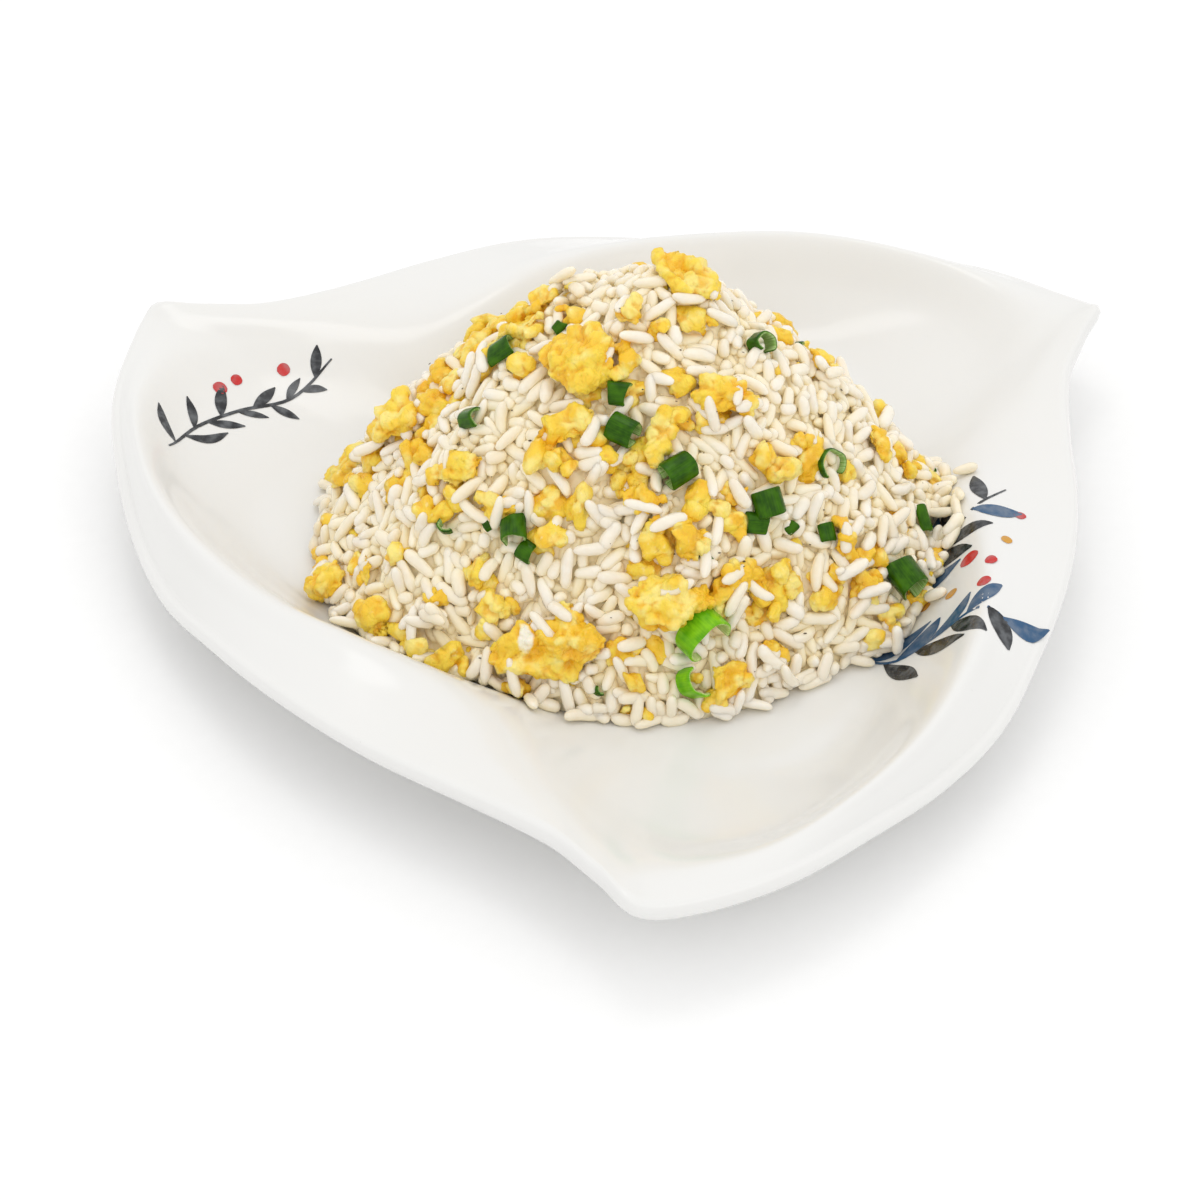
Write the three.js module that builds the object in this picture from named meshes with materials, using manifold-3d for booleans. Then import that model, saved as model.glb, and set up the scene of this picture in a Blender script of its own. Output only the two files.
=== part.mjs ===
// Fried rice with egg and scallion, heaped on a glazed plate of three swept tips.
// Millimetres, +Z up. The plate stands on its foot ring, and the origin is on the table
// under the middle of the plate's bounding box.

import * as THREE from "three";
import { mergeVertices } from "three/addons/utils/BufferGeometryUtils.js";
import Module from "manifold-3d";

const wasm = await Module();
wasm.setup();

// Driving dimensions of the plate
const TIP_REACH = 125; // from the plate's middle to each tip
const TIP_HEIGHT = 24.9;
const FLOOR_HEIGHT = 8; // glazed floor of the well, above the table
const FIRST_TIP_ANGLE = 149.5; // degrees, from +X: the tip at the back left
const RIM_BULGE = 2.2; // how far the rounded rim stands out past its top line
const RIM_DEPTH = 4.9; // from the rim's top line down to where its underside starts
const WALL_DEPTH = 5.5; // from the glaze down to the underside, under the wall and wing
const BASE_UNDERSIDE = 3;
const FOOT_OUTER = 52;
const FOOT_INNER = 46;
const FOOT_TAPER = 1.5; // how far each side of the foot ring leans in to its base
const FOOT_RECESS = 2.4; // the underside inside the foot ring, above the table
const FLOOR_MIDDLE = 30; // radius of the flat middle's first ring of facets
const FLOOR_EDGE = 9; // the outer part of the floor, where it starts to rise
const WING_BOW = 0.6; // how far the wing bows up between shoulder and rim
const PLATE_STEPS = 20; // facets round one third of the plate
const TIP_CROWDING = 0.8; // 0 spaces the facets evenly, and more crowds them at the tips

// The rounded rim from its top line down, in shares of its bulge and depth
const RIM_ROUND = [[0.75, 0.14], [1, 0.48], [0.6, 0.84], [-0.4, 1]];

// Driving dimensions of the food
const HEAP = { x: 1, y: -6, halfWidth: 69, front: 54, back: 61, height: 65.5 };
const HEAP_PEAK = { x: 4, y: 8 }; // how far the peak leans from the heap's middle
const HEAP_BULGE = 1.2; // unevenness of the outline
const GRAIN = { length: 9.2, width: 3.2 };
const SURFACE_GRAINS = 560;
const EDGE_GRAINS = 26;
const EDGE_BAND = [0.96, 1.012]; // where they lie, as shares of the way to the outline
const HEAP_RINGS = 19; // rings of facets from the peak to the outline
const EDGE_THICKNESS = 2.2; // the thin outer edge of the heap
const GAP = 0.35; // kept between pieces that touch
const WALL_GAP = 0.6; // the same where the heap lies on the plate's curved wall
const SKIN = 0.8; // wall of a scallion leaf

// One third of the plate, clockwise from a tip. At each turn (degrees) the glaze runs from
// the floor's edge up the slope to a soft shoulder and on to the rim: [radius, height].
const THIRD = [
  { turn: 0, floor: 66, slope: [92, 13.8], shoulder: [108, 19.9], rim: [TIP_REACH, TIP_HEIGHT] },
  { turn: 2.5, floor: 63.5, slope: [88, 13.9], shoulder: [102.5, 19.3], rim: [117.5, 24.1] },
  { turn: 8, floor: 60, slope: [79, 14.1], shoulder: [91.5, 18.7], rim: [106.6, 22.6] },
  { turn: 18, floor: 57.5, slope: [67.5, 14.6], shoulder: [77, 19], rim: [99, 21.8] },
  { turn: 30, floor: 58, slope: [65.5, 15.5], shoulder: [73.5, 22.4], rim: [96, 21.9] },
  { turn: 45, floor: 61, slope: [69, 16], shoulder: [78.5, 26], rim: [95.5, 22.2] },
  { turn: 60, floor: 66, slope: [75.5, 16], shoulder: [86, 26], rim: [97, 19.8] },
  { turn: 72, floor: 72.5, slope: [82, 16], shoulder: [92.8, 25.6], rim: [101, 16.8] },
  { turn: 84, floor: 80, slope: [90.5, 16], shoulder: [100.8, 25.4], rim: [105.6, 17.6] },
  { turn: 95, floor: 84, slope: [98, 15.4], shoulder: [107.6, 24.4], rim: [111.2, 19.8] },
  { turn: 106, floor: 81, slope: [103, 15], shoulder: [114, 22.6], rim: [119, 21] },
  { turn: 114, floor: 74, slope: [100.5, 14.4], shoulder: [114.5, 21.4], rim: [123.6, 21.8] },
  { turn: 118, floor: 69, slope: [95.5, 14], shoulder: [110.8, 20.5], rim: [125.6, 23.2] },
];
const TURNS = THIRD.map((station) => station.turn);

const rad = THREE.MathUtils.degToRad;
const clamp = THREE.MathUtils.clamp;
const lerp = THREE.MathUtils.lerp;

// Seeded draws, so that the heap is the same each time
function drawer(seed) {
  let state = seed >>> 0;
  return (low = 0, high = 1) => {
    state = (state * 1664525 + 1013904223) >>> 0;
    return low + ((high - low) * state) / 4294967296;
  };
}

// A smooth curve through one value of every station, repeating each third of the circle
function roundThird(values, turn) {
  const n = TURNS.length;
  const t = ((turn % 120) + 120) % 120;
  const at = (i) => ({ turn: TURNS[(i + n) % n] + 120 * Math.floor(i / n), value: values[(i + n) % n] });
  let i = n - 1;
  while (i > 0 && TURNS[i] > t) i -= 1;
  const [before, from, to, after] = [at(i - 1), at(i), at(i + 1), at(i + 2)];
  const span = to.turn - from.turn;
  const slopeIn = ((to.value - before.value) / (to.turn - before.turn)) * span;
  const slopeOut = ((after.value - from.value) / (after.turn - from.turn)) * span;
  const u = (t - from.turn) / span;
  return (
    from.value * (1 + 2 * u) * (1 - u) ** 2 +
    slopeIn * u * (1 - u) ** 2 +
    to.value * u * u * (3 - 2 * u) +
    slopeOut * u * u * (u - 1)
  );
}
const stationRadius = (key, turn) => roundThird(THIRD.map((s) => s[key][0]), turn);
const stationHeight = (key, turn) => roundThird(THIRD.map((s) => s[key][1]), turn);

// The glazed upper side at one turn, as points [radius, height] from the floor out to the rim
function glazeLine(turn) {
  const floor = roundThird(THIRD.map((s) => s.floor), turn);
  const knots = [[floor - FLOOR_EDGE, FLOOR_HEIGHT], [floor, FLOOR_HEIGHT + 0.5]];
  for (const key of ["slope", "shoulder"]) knots.push([stationRadius(key, turn), stationHeight(key, turn)]);
  const rim = [stationRadius("rim", turn), stationHeight("rim", turn)];
  const shoulder = knots[knots.length - 1];
  knots.push([(shoulder[0] + rim[0]) / 2, (shoulder[1] + rim[1]) / 2 + WING_BOW], rim);
  const curve = new THREE.CatmullRomCurve3(knots.map(([r, z]) => new THREE.Vector3(r, 0, z)));
  return curve.getPoints(2 * (knots.length - 1)).map((p) => [p.x, p.z]);
}

// The whole section at one turn: over the glaze, round the rim, and back under to the foot
function plateSection(turn) {
  const glaze = glazeLine(turn);
  const [rimR, rimZ] = glaze[glaze.length - 1];
  const shoulder = [stationRadius("shoulder", turn), stationHeight("shoulder", turn)];
  const slope = [stationRadius("slope", turn), stationHeight("slope", turn)];
  const underWing = [lerp(shoulder[0], rimR, 0.3), lerp(shoulder[1], rimZ, 0.3) - WALL_DEPTH];
  const underSlope = [slope[0] + 2.5, slope[1] - WALL_DEPTH];
  return [
    [FLOOR_MIDDLE, FLOOR_HEIGHT],
    ...glaze,
    ...RIM_ROUND.map(([out, down]) => [rimR + out * RIM_BULGE, rimZ - down * RIM_DEPTH]),
    underWing,
    underSlope,
    [roundThird(THIRD.map((s) => s.floor), turn) + 1, BASE_UNDERSIDE],
    [FOOT_OUTER + FOOT_TAPER, BASE_UNDERSIDE],
    [FOOT_OUTER, 0],
    [FOOT_INNER, 0],
    [FOOT_INNER - FOOT_TAPER, FOOT_RECESS],
  ];
}

// Turns spread over one third, closer together near the tip where the rim bends most
function plateTurns() {
  const turns = [];
  for (let i = 0; i < PLATE_STEPS; i += 1) {
    const u = i / PLATE_STEPS;
    turns.push(120 * (u - (TIP_CROWDING * Math.sin(2 * Math.PI * u)) / (2 * Math.PI)));
  }
  return turns;
}

function plateGeometry() {
  const sections = [];
  for (let third = 0; third < 3; third += 1) {
    for (const turn of plateTurns()) {
      const angle = rad(FIRST_TIP_ANGLE - turn - 120 * third);
      sections.push(plateSection(turn).map(([r, z]) => [r * Math.cos(angle), r * Math.sin(angle), z]));
    }
  }
  return latheLike(sections, [0, 0, FLOOR_HEIGHT], [0, 0, FOOT_RECESS]);
}

// A closed skin over sections set round the Z axis clockwise, from the top pole to the bottom
function latheLike(sections, topPole, bottomPole) {
  const points = [topPole, bottomPole];
  const ringCount = sections[0].length;
  for (const section of sections) points.push(...section);
  const at = (step, ring) => 2 + (step % sections.length) * ringCount + ring;
  const faces = [];
  for (let step = 0; step < sections.length; step += 1) {
    faces.push([0, at(step + 1, 0), at(step, 0)]);
    faces.push([1, at(step, ringCount - 1), at(step + 1, ringCount - 1)]);
    for (let ring = 0; ring + 1 < ringCount; ring += 1) {
      const [a, b] = [at(step, ring), at(step + 1, ring)];
      const [c, d] = [at(step + 1, ring + 1), at(step, ring + 1)];
      faces.push([a, b, c], [a, c, d]);
    }
  }
  return indexed(points, faces);
}

function indexed(points, faces) {
  const geometry = new THREE.BufferGeometry();
  geometry.setAttribute("position", new THREE.Float32BufferAttribute(points.flat(), 3));
  geometry.setIndex(faces.flat());
  return geometry;
}

// Height of the glaze at a place on the plate
const glazeCache = new Map();
function glazeHeight(x, y) {
  const radius = Math.hypot(x, y);
  const turn = FIRST_TIP_ANGLE - THREE.MathUtils.radToDeg(Math.atan2(y, x));
  const key = Math.round((((turn % 120) + 120) % 120) * 4);
  if (!glazeCache.has(key)) glazeCache.set(key, glazeLine(key / 4));
  const line = glazeCache.get(key);
  if (radius <= line[0][0]) return FLOOR_HEIGHT;
  for (let i = 0; i + 1 < line.length; i += 1) {
    const [[r0, z0], [r1, z1]] = [line[i], line[i + 1]];
    if (radius <= r1) return lerp(z0, z1, (radius - r0) / (r1 - r0));
  }
  return line[line.length - 1][1];
}

// The heap's outline, a little uneven, as a reach in each direction from its middle
function heapReach(angle) {
  const depth = Math.sin(angle) < 0 ? HEAP.front : HEAP.back;
  const even = 1 / Math.hypot(Math.cos(angle) / HEAP.halfWidth, Math.sin(angle) / depth);
  const bulges = Math.sin(3 * angle + 0.6) + 0.8 * Math.sin(5 * angle + 2.1) + 0.6 * Math.sin(9 * angle);
  return even + HEAP_BULGE * bulges;
}

// A place on the heap, from its direction and how far out it is: 0 the peak, 1 the outline
function heapPlace(angle, fraction) {
  const out = heapReach(angle) * fraction;
  return [
    HEAP.x + HEAP_PEAK.x * (1 - fraction) + out * Math.cos(angle),
    HEAP.y + HEAP_PEAK.y * (1 - fraction) + out * Math.sin(angle),
  ];
}

// The other way round: how far out a place lies
function heapFraction(x, y) {
  let fraction = 1;
  for (let i = 0; i < 8; i += 1) {
    const dx = x - HEAP.x - HEAP_PEAK.x * (1 - fraction);
    const dy = y - HEAP.y - HEAP_PEAK.y * (1 - fraction);
    fraction = Math.min(1.5, Math.hypot(dx, dy) / heapReach(Math.atan2(dy, dx)));
  }
  return fraction;
}

// Bare height of the heap's core, with the shallow hollows and swells of spooned rice
function coreHeight(x, y) {
  const fraction = Math.min(1, heapFraction(x, y));
  const dome = HEAP.height * (1 - fraction ** 1.5) ** 0.85;
  const swell = 1.3 * Math.sin(x / 9 + 1) * Math.sin(y / 11) + 0.9 * Math.sin(x / 5 - y / 7);
  return Math.max(FLOOR_HEIGHT + GAP + dome + swell * Math.min(1, dome / 10), floorUnder(x, y) + EDGE_THICKNESS);
}

// The underside of what lies on the plate
function floorUnder(x, y) {
  const glaze = glazeHeight(x, y);
  return glaze + (glaze > FLOOR_HEIGHT ? WALL_GAP : GAP);
}

function coreNormal(x, y) {
  const d = 2;
  return new THREE.Vector3(
    coreHeight(x - d, y) - coreHeight(x + d, y),
    coreHeight(x, y - d) - coreHeight(x, y + d),
    2 * d,
  ).normalize();
}

// Cooked grains pressed into the heap's surface: each raises the core where it lies
function surfaceGrains() {
  const draw = drawer(11);
  const grains = [];
  for (let i = 0; i < SURFACE_GRAINS; i += 1) {
    const [x, y] = heapPlace(draw(0, 2 * Math.PI), Math.sqrt(draw(0.001, 0.96)));
    grains.push({ x, y, turn: draw(0, Math.PI), rise: draw(0.9, 1.4) });
  }
  return grains;
}

function bumpHeight(grains, x, y) {
  let rise = 0;
  for (const grain of grains) {
    const [dx, dy] = [x - grain.x, y - grain.y];
    if (Math.abs(dx) > GRAIN.length || Math.abs(dy) > GRAIN.length) continue;
    const along = (dx * Math.cos(grain.turn) + dy * Math.sin(grain.turn)) / (GRAIN.length / 2);
    const across = (dy * Math.cos(grain.turn) - dx * Math.sin(grain.turn)) / (GRAIN.width / 1.6);
    const left = 1 - along * along - across * across;
    if (left > 0) rise = Math.max(rise, grain.rise * (GRAIN.width / 2) * Math.sqrt(left));
  }
  return rise;
}

function heapSkin(grains, x, y, grow) {
  const rise = bumpHeight(grains, x, y) + grow;
  return new THREE.Vector3(x, y, coreHeight(x, y)).addScaledVector(coreNormal(x, y), rise).toArray();
}

// The heap: rings of 6, 12, 18 and more points over the top, so that its facets are of one
// size, then a strip down to the glaze and the underside back to the middle. grow swells
// it, for what is cut to lie on it.
function heapCore(grow = 0) {
  const grains = surfaceGrains();
  const points = [heapSkin(grains, ...heapPlace(0, 0), grow)];
  const faces = [];
  let inner = [0];
  for (let ring = 1; ring <= HEAP_RINGS; ring += 1) {
    const outer = [];
    for (let i = 0; i < 6 * ring; i += 1) {
      const place = heapPlace((Math.PI * i) / (3 * ring), ring / HEAP_RINGS);
      outer.push(points.length);
      if (ring < HEAP_RINGS) points.push(heapSkin(grains, ...place, grow));
      else points.push([...heapPlace((Math.PI * i) / (3 * ring), 1 + grow / HEAP.front), coreHeight(...place) + grow]);
    }
    for (let i = 0; i < 6 * ring; i += 1) {
      const sector = Math.floor(i / ring);
      const a = inner[(i - sector) % inner.length];
      const b = inner[(i - sector + 1) % inner.length];
      const c = outer[(i + 1) % outer.length];
      faces.push([a, outer[i], c]);
      if (i % ring < ring - 1) faces.push([a, c, b]);
    }
    inner = outer;
  }
  const undersideFractions = [1, 0.91, 0.8];
  for (const fraction of undersideFractions) {
    const next = inner.map((_, i) => {
      const [x, y] = heapPlace((2 * Math.PI * i) / inner.length, fraction + grow / HEAP.front);
      return points.push([x, y, floorUnder(x, y) - grow]) - 1;
    });
    inner.forEach((a, i) => {
      const j = (i + 1) % inner.length;
      faces.push([a, next[i], next[j]], [a, next[j], inner[j]]);
    });
    inner = next;
  }
  const pole = points.push([HEAP.x, HEAP.y, FLOOR_HEIGHT + GAP - grow]) - 1;
  inner.forEach((a, i) => faces.push([a, pole, inner[(i + 1) % inner.length]]));
  return indexed(points, faces);
}

// One cooked grain with few sides: blunt at its ends and a little flat
const GRAIN_OUTLINE = [[0, -0.5], [0.36, -0.39], [0.5, 0], [0.36, 0.39], [0, 0.5]];

function grainGeometry(at, turn, grow) {
  const [width, length] = [GRAIN.width + 2.4 * grow, GRAIN.length + 2.4 * grow];
  const outline = GRAIN_OUTLINE.map(([r, y]) => new THREE.Vector2(r * width, y * length));
  const geometry = new THREE.LatheGeometry(outline, 5);
  geometry.scale(1, 1, 0.9);
  geometry.rotateZ(turn);
  return geometry.translate(...at);
}

// Grains that make the heap's uneven foot, half in the core and half on the glaze
function edgeGrains(grow = 0) {
  const draw = drawer(29);
  const grains = [];
  for (let i = 0; i < EDGE_GRAINS; i += 1) {
    const angle = (2 * Math.PI * (i + draw(-0.35, 0.35))) / EDGE_GRAINS;
    const [x, y] = heapPlace(angle, draw(...EDGE_BAND));
    const turn = angle + draw(-0.9, 0.9);
    const ends = [-0.5, -0.25, 0, 0.25, 0.5].map((end) =>
      floorUnder(x - end * GRAIN.length * Math.sin(turn), y + end * GRAIN.length * Math.cos(turn)),
    );
    grains.push(grainGeometry([x, y, Math.max(...ends) + 0.5 * GRAIN.width], turn, grow));
  }
  return grains;
}

function solidOf(geometry) {
  const bare = geometry.index ? geometry.toNonIndexed() : geometry.clone();
  for (const name of Object.keys(bare.attributes)) if (name !== "position") bare.deleteAttribute(name);
  const merged = mergeVertices(bare, 1e-3);
  return new wasm.Manifold(
    new wasm.Mesh({
      numProp: 3,
      vertProperties: merged.attributes.position.array,
      triVerts: new Uint32Array(merged.index.array),
    }),
  );
}

function geometryOf(solid) {
  const mesh = solid.getMesh();
  const geometry = new THREE.BufferGeometry();
  const position = [];
  for (let i = 0; i < mesh.numVert; i += 1) {
    position.push(...mesh.vertProperties.slice(i * mesh.numProp, i * mesh.numProp + 3));
  }
  geometry.setAttribute("position", new THREE.Float32BufferAttribute(position, 3));
  geometry.setIndex([...mesh.triVerts]);
  return geometry;
}

// The largest piece of a solid, without the loose scraps that a cut can leave
function largest(solid) {
  return solid.decompose().sort((a, b) => b.volume() - a.volume())[0];
}

// Where the photograph was taken from: the toppings are placed by where they show in it
const PHOTO = { middle: 600, focal: 3083, elevation: rad(40.9), distance: 677 };
const AIM = new THREE.Vector3(-5.8, -12.2, -1);
const BACK = new THREE.Vector3(0, -Math.cos(PHOTO.elevation), Math.sin(PHOTO.elevation));
const RIGHT = new THREE.Vector3(1, 0, 0);
const UP = new THREE.Vector3().crossVectors(BACK, RIGHT);
const EYE = AIM.clone().addScaledVector(BACK, PHOTO.distance);

// Where the line of sight through a pixel meets the heap, or passes closest to it
function onHeap([px, py]) {
  const ray = RIGHT.clone()
    .multiplyScalar((px - PHOTO.middle) / PHOTO.focal)
    .addScaledVector(UP, (PHOTO.middle - py) / PHOTO.focal)
    .sub(BACK);
  let closest = { gap: Infinity };
  for (let along = PHOTO.distance - 110; along < PHOTO.distance + 90; along += 0.4) {
    const point = EYE.clone().addScaledVector(ray, along);
    if (heapFraction(point.x, point.y) > 1.01) continue;
    const gap = point.z - coreHeight(point.x, point.y);
    if (gap < closest.gap) closest = { gap, point };
    if (gap <= 0) break;
  }
  const { x, y } = closest.point;
  return new THREE.Vector3(x, y, coreHeight(x, y));
}

// A topping's place: where it shows in the photograph or, behind the heap, its direction
// (degrees from +X) and how far out it is
function toppingPlace({ pixel, spot }) {
  if (pixel) return onHeap(pixel);
  const [x, y] = heapPlace(rad(spot[0]), spot[1]);
  return new THREE.Vector3(x, y, coreHeight(x, y));
}

// Axes of a piece that lies on the heap: across the slope, up the slope, and out of it
function slopeFrame(at, turn) {
  const out = coreNormal(at.x, at.y);
  const across = RIGHT.clone().addScaledVector(out, -RIGHT.dot(out)).normalize();
  const up = new THREE.Vector3().crossVectors(out, across);
  const frame = new THREE.Matrix4().makeBasis(across, up, out);
  return frame.multiply(new THREE.Matrix4().makeRotationZ(rad(turn))).setPosition(at);
}

// Egg: where each curd lies, its width and height in millimetres along the slope, and how
// far it is turned there (degrees). The last five are behind the heap.
const EGGS = [
  { pixel: [339, 580], size: [11, 10], turn: 0 },
  { pixel: [373, 571], size: [5.5, 8], turn: 10 },
  { pixel: [403, 424], size: [13.5, 13], turn: 20 },
  { pixel: [510, 345], size: [17, 5.5], turn: 6 },
  { pixel: [546, 309], size: [6.5, 6.5], turn: 0 },
  { pixel: [577, 293], size: [5.5, 6.5], turn: 20 },
  { pixel: [584, 362], size: [15, 14], turn: -20 },
  { pixel: [684, 284], size: [15, 8.5], turn: -38 },
  { pixel: [631, 315], size: [7, 6.5], turn: 0 },
  { pixel: [722, 400], size: [13, 8.5], turn: -32 },
  { pixel: [815, 366], size: [6.5, 4.5], turn: -20 },
  { pixel: [566, 430], size: [15.5, 7], turn: 22 },
  { pixel: [658, 440], size: [6.5, 11.5], turn: -25 },
  { pixel: [457, 475], size: [13, 6.5], turn: 12 },
  { pixel: [495, 507], size: [10.5, 5.5], turn: -15 },
  { pixel: [643, 501], size: [10, 6], turn: 5 },
  { pixel: [666, 527], size: [9.5, 5], turn: 0 },
  { pixel: [693, 547], size: [6.5, 5.5], turn: 30 },
  { pixel: [738, 500], size: [7, 4.5], turn: 0 },
  { pixel: [742, 578], size: [11, 7.5], turn: -25 },
  { pixel: [840, 540], size: [6.5, 10.5], turn: 12 },
  { pixel: [866, 587], size: [6.5, 6], turn: -10 },
  { pixel: [932, 566], size: [6, 7.5], turn: 0 },
  { pixel: [886, 616], size: [6, 6], turn: 0 },
  { pixel: [870, 447], size: [7, 8.5], turn: 15 },
  { pixel: [669, 603], size: [16, 11.5], turn: 15 },
  { pixel: [549, 652], size: [24, 11.5], turn: 3 },
  { pixel: [568, 616], size: [6.5, 6.5], turn: 0 },
  { pixel: [722, 681], size: [10.5, 8.5], turn: -10 },
  { pixel: [773, 651], size: [7.5, 4.5], turn: -15 },
  { pixel: [394, 634], size: [6.5, 4.5], turn: -15 },
  { pixel: [438, 601], size: [9, 4.5], turn: 5 },
  { spot: [62, 0.86], size: [9, 6.5], turn: 20 },
  { spot: [80, 0.76], size: [13, 8.5], turn: -15 },
  { spot: [97, 0.9], size: [8, 6], turn: 30 },
  { spot: [112, 0.79], size: [11, 7.5], turn: 10 },
  { spot: [128, 0.9], size: [8.5, 7], turn: -30 },
];

// Scallion: rings and folded leaves, each a band of leaf bent to a radius through a sweep.
// lean tips the band's axis out of the slope. The last three are behind the heap.
const SCALLIONS = [
  { pixel: [509, 355], radius: 3.0, band: 6, sweep: 170, turn: 80, lean: 80 },
  { pixel: [475, 421], radius: 2.3, band: 5.5, sweep: 190, turn: 70, lean: 75 },
  { pixel: [517, 532], radius: 2.8, band: 5.5, sweep: 230, turn: 20, lean: 60 },
  { pixel: [529, 552], radius: 2.2, band: 3.5, sweep: 160, turn: 60, lean: 80 },
  { pixel: [618, 396], radius: 2.6, band: 4.5, sweep: 170, turn: 80, lean: 75 },
  { pixel: [622, 431], radius: 3.0, band: 6, sweep: 330, turn: 60, lean: 65 },
  { pixel: [678, 472], radius: 3.1, band: 6.5, sweep: 345, turn: -55, lean: 75 },
  { pixel: [758, 349], radius: 2.7, band: 4, sweep: 300, turn: 20, lean: 35 },
  { pixel: [826, 466], radius: 3.8, band: 1.6, sweep: 290, turn: 20, lean: 12 },
  { pixel: [764, 503], radius: 3.6, band: 5.5, sweep: 150, turn: 15, lean: 85 },
  { pixel: [753, 523], radius: 2.4, band: 5.5, sweep: 130, turn: 85, lean: 85 },
  { pixel: [824, 534], radius: 2.0, band: 4, sweep: 150, turn: 10, lean: 80 },
  { pixel: [919, 521], radius: 2.0, band: 5.5, sweep: 190, turn: 10, lean: 80 },
  { pixel: [896, 577], radius: 3.9, band: 7.5, sweep: 300, turn: 15, lean: 55 },
  { pixel: [699, 634], radius: 5.4, band: 5.5, sweep: 265, turn: 40, lean: 40, pale: true },
  { pixel: [692, 679], radius: 3.6, band: 4.5, sweep: 190, turn: 120, lean: 35, pale: true },
  { spot: [90, 0.72], radius: 2.6, band: 5.5, sweep: 180, turn: 75, lean: 78 },
  { spot: [72, 0.93], radius: 3.0, band: 5, sweep: 300, turn: 30, lean: 55 },
  { spot: [116, 0.93], radius: 3.1, band: 4.5, sweep: 250, turn: -40, lean: 60 },
];

// A curd of egg: a lumpy blob, with finer facets if it is large. grow swells it evenly, for
// the room that its neighbours leave it.
const FINE_CURD = 15;
function curdGeometry(egg, seed, grow = 0) {
  const [wide, tall] = egg.size;
  const deep = clamp(0.62 * Math.min(wide, tall), 3, 7);
  const blob = new THREE.IcosahedronGeometry(1, Math.max(wide, tall) > FINE_CURD && grow === 0 ? 2 : 1);
  const phase = drawer(101 + seed);
  const waves = [0, 1, 2, 3].map(() => [phase(1.2, 3.8), phase(1.2, 3.8), phase(1.2, 3.8), phase(0, 6.28)]);
  const points = blob.attributes.position;
  for (let i = 0; i < points.count; i += 1) {
    const [x, y, z] = [points.getX(i), points.getY(i), points.getZ(i)];
    let lump = 1;
    for (const [fx, fy, fz, shift] of waves) lump += 0.1 * Math.sin(fx * x + fy * y + fz * z + shift);
    points.setXYZ(i, x * (lump * wide * 0.5 + grow), y * (lump * tall * 0.5 + grow), z * (lump * deep * 0.5 + grow));
  }
  const at = toppingPlace(egg);
  at.addScaledVector(coreNormal(at.x, at.y), 0.3 * deep);
  blob.applyMatrix4(slopeFrame(at, egg.turn));
  return restOnPlate(blob, grow);
}

// Flattens what would sink into the plate, so that it lies on the glaze
function restOnPlate(geometry, grow) {
  const points = geometry.attributes.position;
  for (let i = 0; i < points.count; i += 1) {
    const lowest = floorUnder(points.getX(i), points.getY(i)) + (grow > 0 ? -2 : 0);
    points.setZ(i, Math.max(points.getZ(i), lowest));
  }
  return geometry;
}

// A band of leaf bent round: open where it was cut through or folded back
function leafGeometry(leaf) {
  const { radius, band, sweep, turn, lean } = leaf;
  const steps = Math.max(5, Math.round(sweep / 38));
  const [points, faces] = [[], []];
  for (let i = 0; i <= steps; i += 1) {
    const angle = rad((sweep * i) / steps - sweep / 2 + 90);
    const squeeze = 0.82;
    for (const [out, side] of [[0, 0.5], [0, -0.5], [SKIN, -0.5], [SKIN, 0.5]]) {
      const r = radius - out;
      points.push([r * Math.cos(angle), squeeze * r * Math.sin(angle), side * band]);
    }
  }
  for (let i = 0; i < steps; i += 1) {
    for (let side = 0; side < 4; side += 1) {
      const [a, b] = [4 * i + side, 4 * i + ((side + 1) % 4)];
      faces.push([a, b, b + 4], [a, b + 4, a + 4]);
    }
  }
  const last = 4 * steps;
  faces.push([0, 2, 1], [0, 3, 2], [last, last + 1, last + 2], [last, last + 2, last + 3]);
  const geometry = indexed(points, faces);
  geometry.rotateX(rad(lean));
  return geometry.applyMatrix4(slopeFrame(leafPlace(leaf), turn));
}

// The band's middle stands out of the slope by a part of its radius, and never in the plate
function leafPlace(leaf) {
  const { radius, band, lean } = leaf;
  const at = toppingPlace(leaf);
  const rise = 0.35 * radius + 0.25 * band * Math.cos(rad(lean));
  at.addScaledVector(coreNormal(at.x, at.y), rise);
  at.z = Math.max(at.z, floorUnder(at.x, at.y) + Math.hypot(radius, band / 2) + GAP);
  return at;
}

// The room that its neighbours leave a band of leaf
function leafHollow(leaf) {
  const hollow = new THREE.IcosahedronGeometry(1, 1);
  const side = 1.28 * leaf.radius + 2 * GAP;
  hollow.scale(side, side, 0.67 * leaf.band + 2 * GAP);
  hollow.rotateX(rad(leaf.lean));
  return hollow.applyMatrix4(slopeFrame(leafPlace(leaf), leaf.turn));
}

const materials = {
  glaze: new THREE.MeshStandardMaterial({ color: 0xf1f0ed, roughness: 0.12, metalness: 0 }),
  rice: new THREE.MeshStandardMaterial({ color: 0xeee4d0, roughness: 0.45, metalness: 0 }),
  egg: new THREE.MeshStandardMaterial({ color: 0xf2c447, roughness: 0.5, metalness: 0 }),
  leaf: new THREE.MeshStandardMaterial({ color: 0x2c6b22, roughness: 0.4, metalness: 0 }),
  paleLeaf: new THREE.MeshStandardMaterial({ color: 0x9ccb3c, roughness: 0.4, metalness: 0 }),
};

const group = new THREE.Group();

function addNode(name, geometry, material) {
  const mesh = new THREE.Mesh(geometry, material);
  mesh.name = name;
  group.add(mesh);
  return mesh;
}

const numbered = (kind, index) => `${kind}_${String(index + 1).padStart(2, "0")}`;

function heapSolid(grow = 0) {
  const grains = edgeGrains(grow).map(solidOf);
  return grains.reduce((heap, grain) => heap.add(grain), solidOf(heapCore(grow)));
}

// The heap is whole, and each topping is cut to lie on it, clear of those before it
const underToppings = heapSolid(GAP);
const hollows = [];

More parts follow.
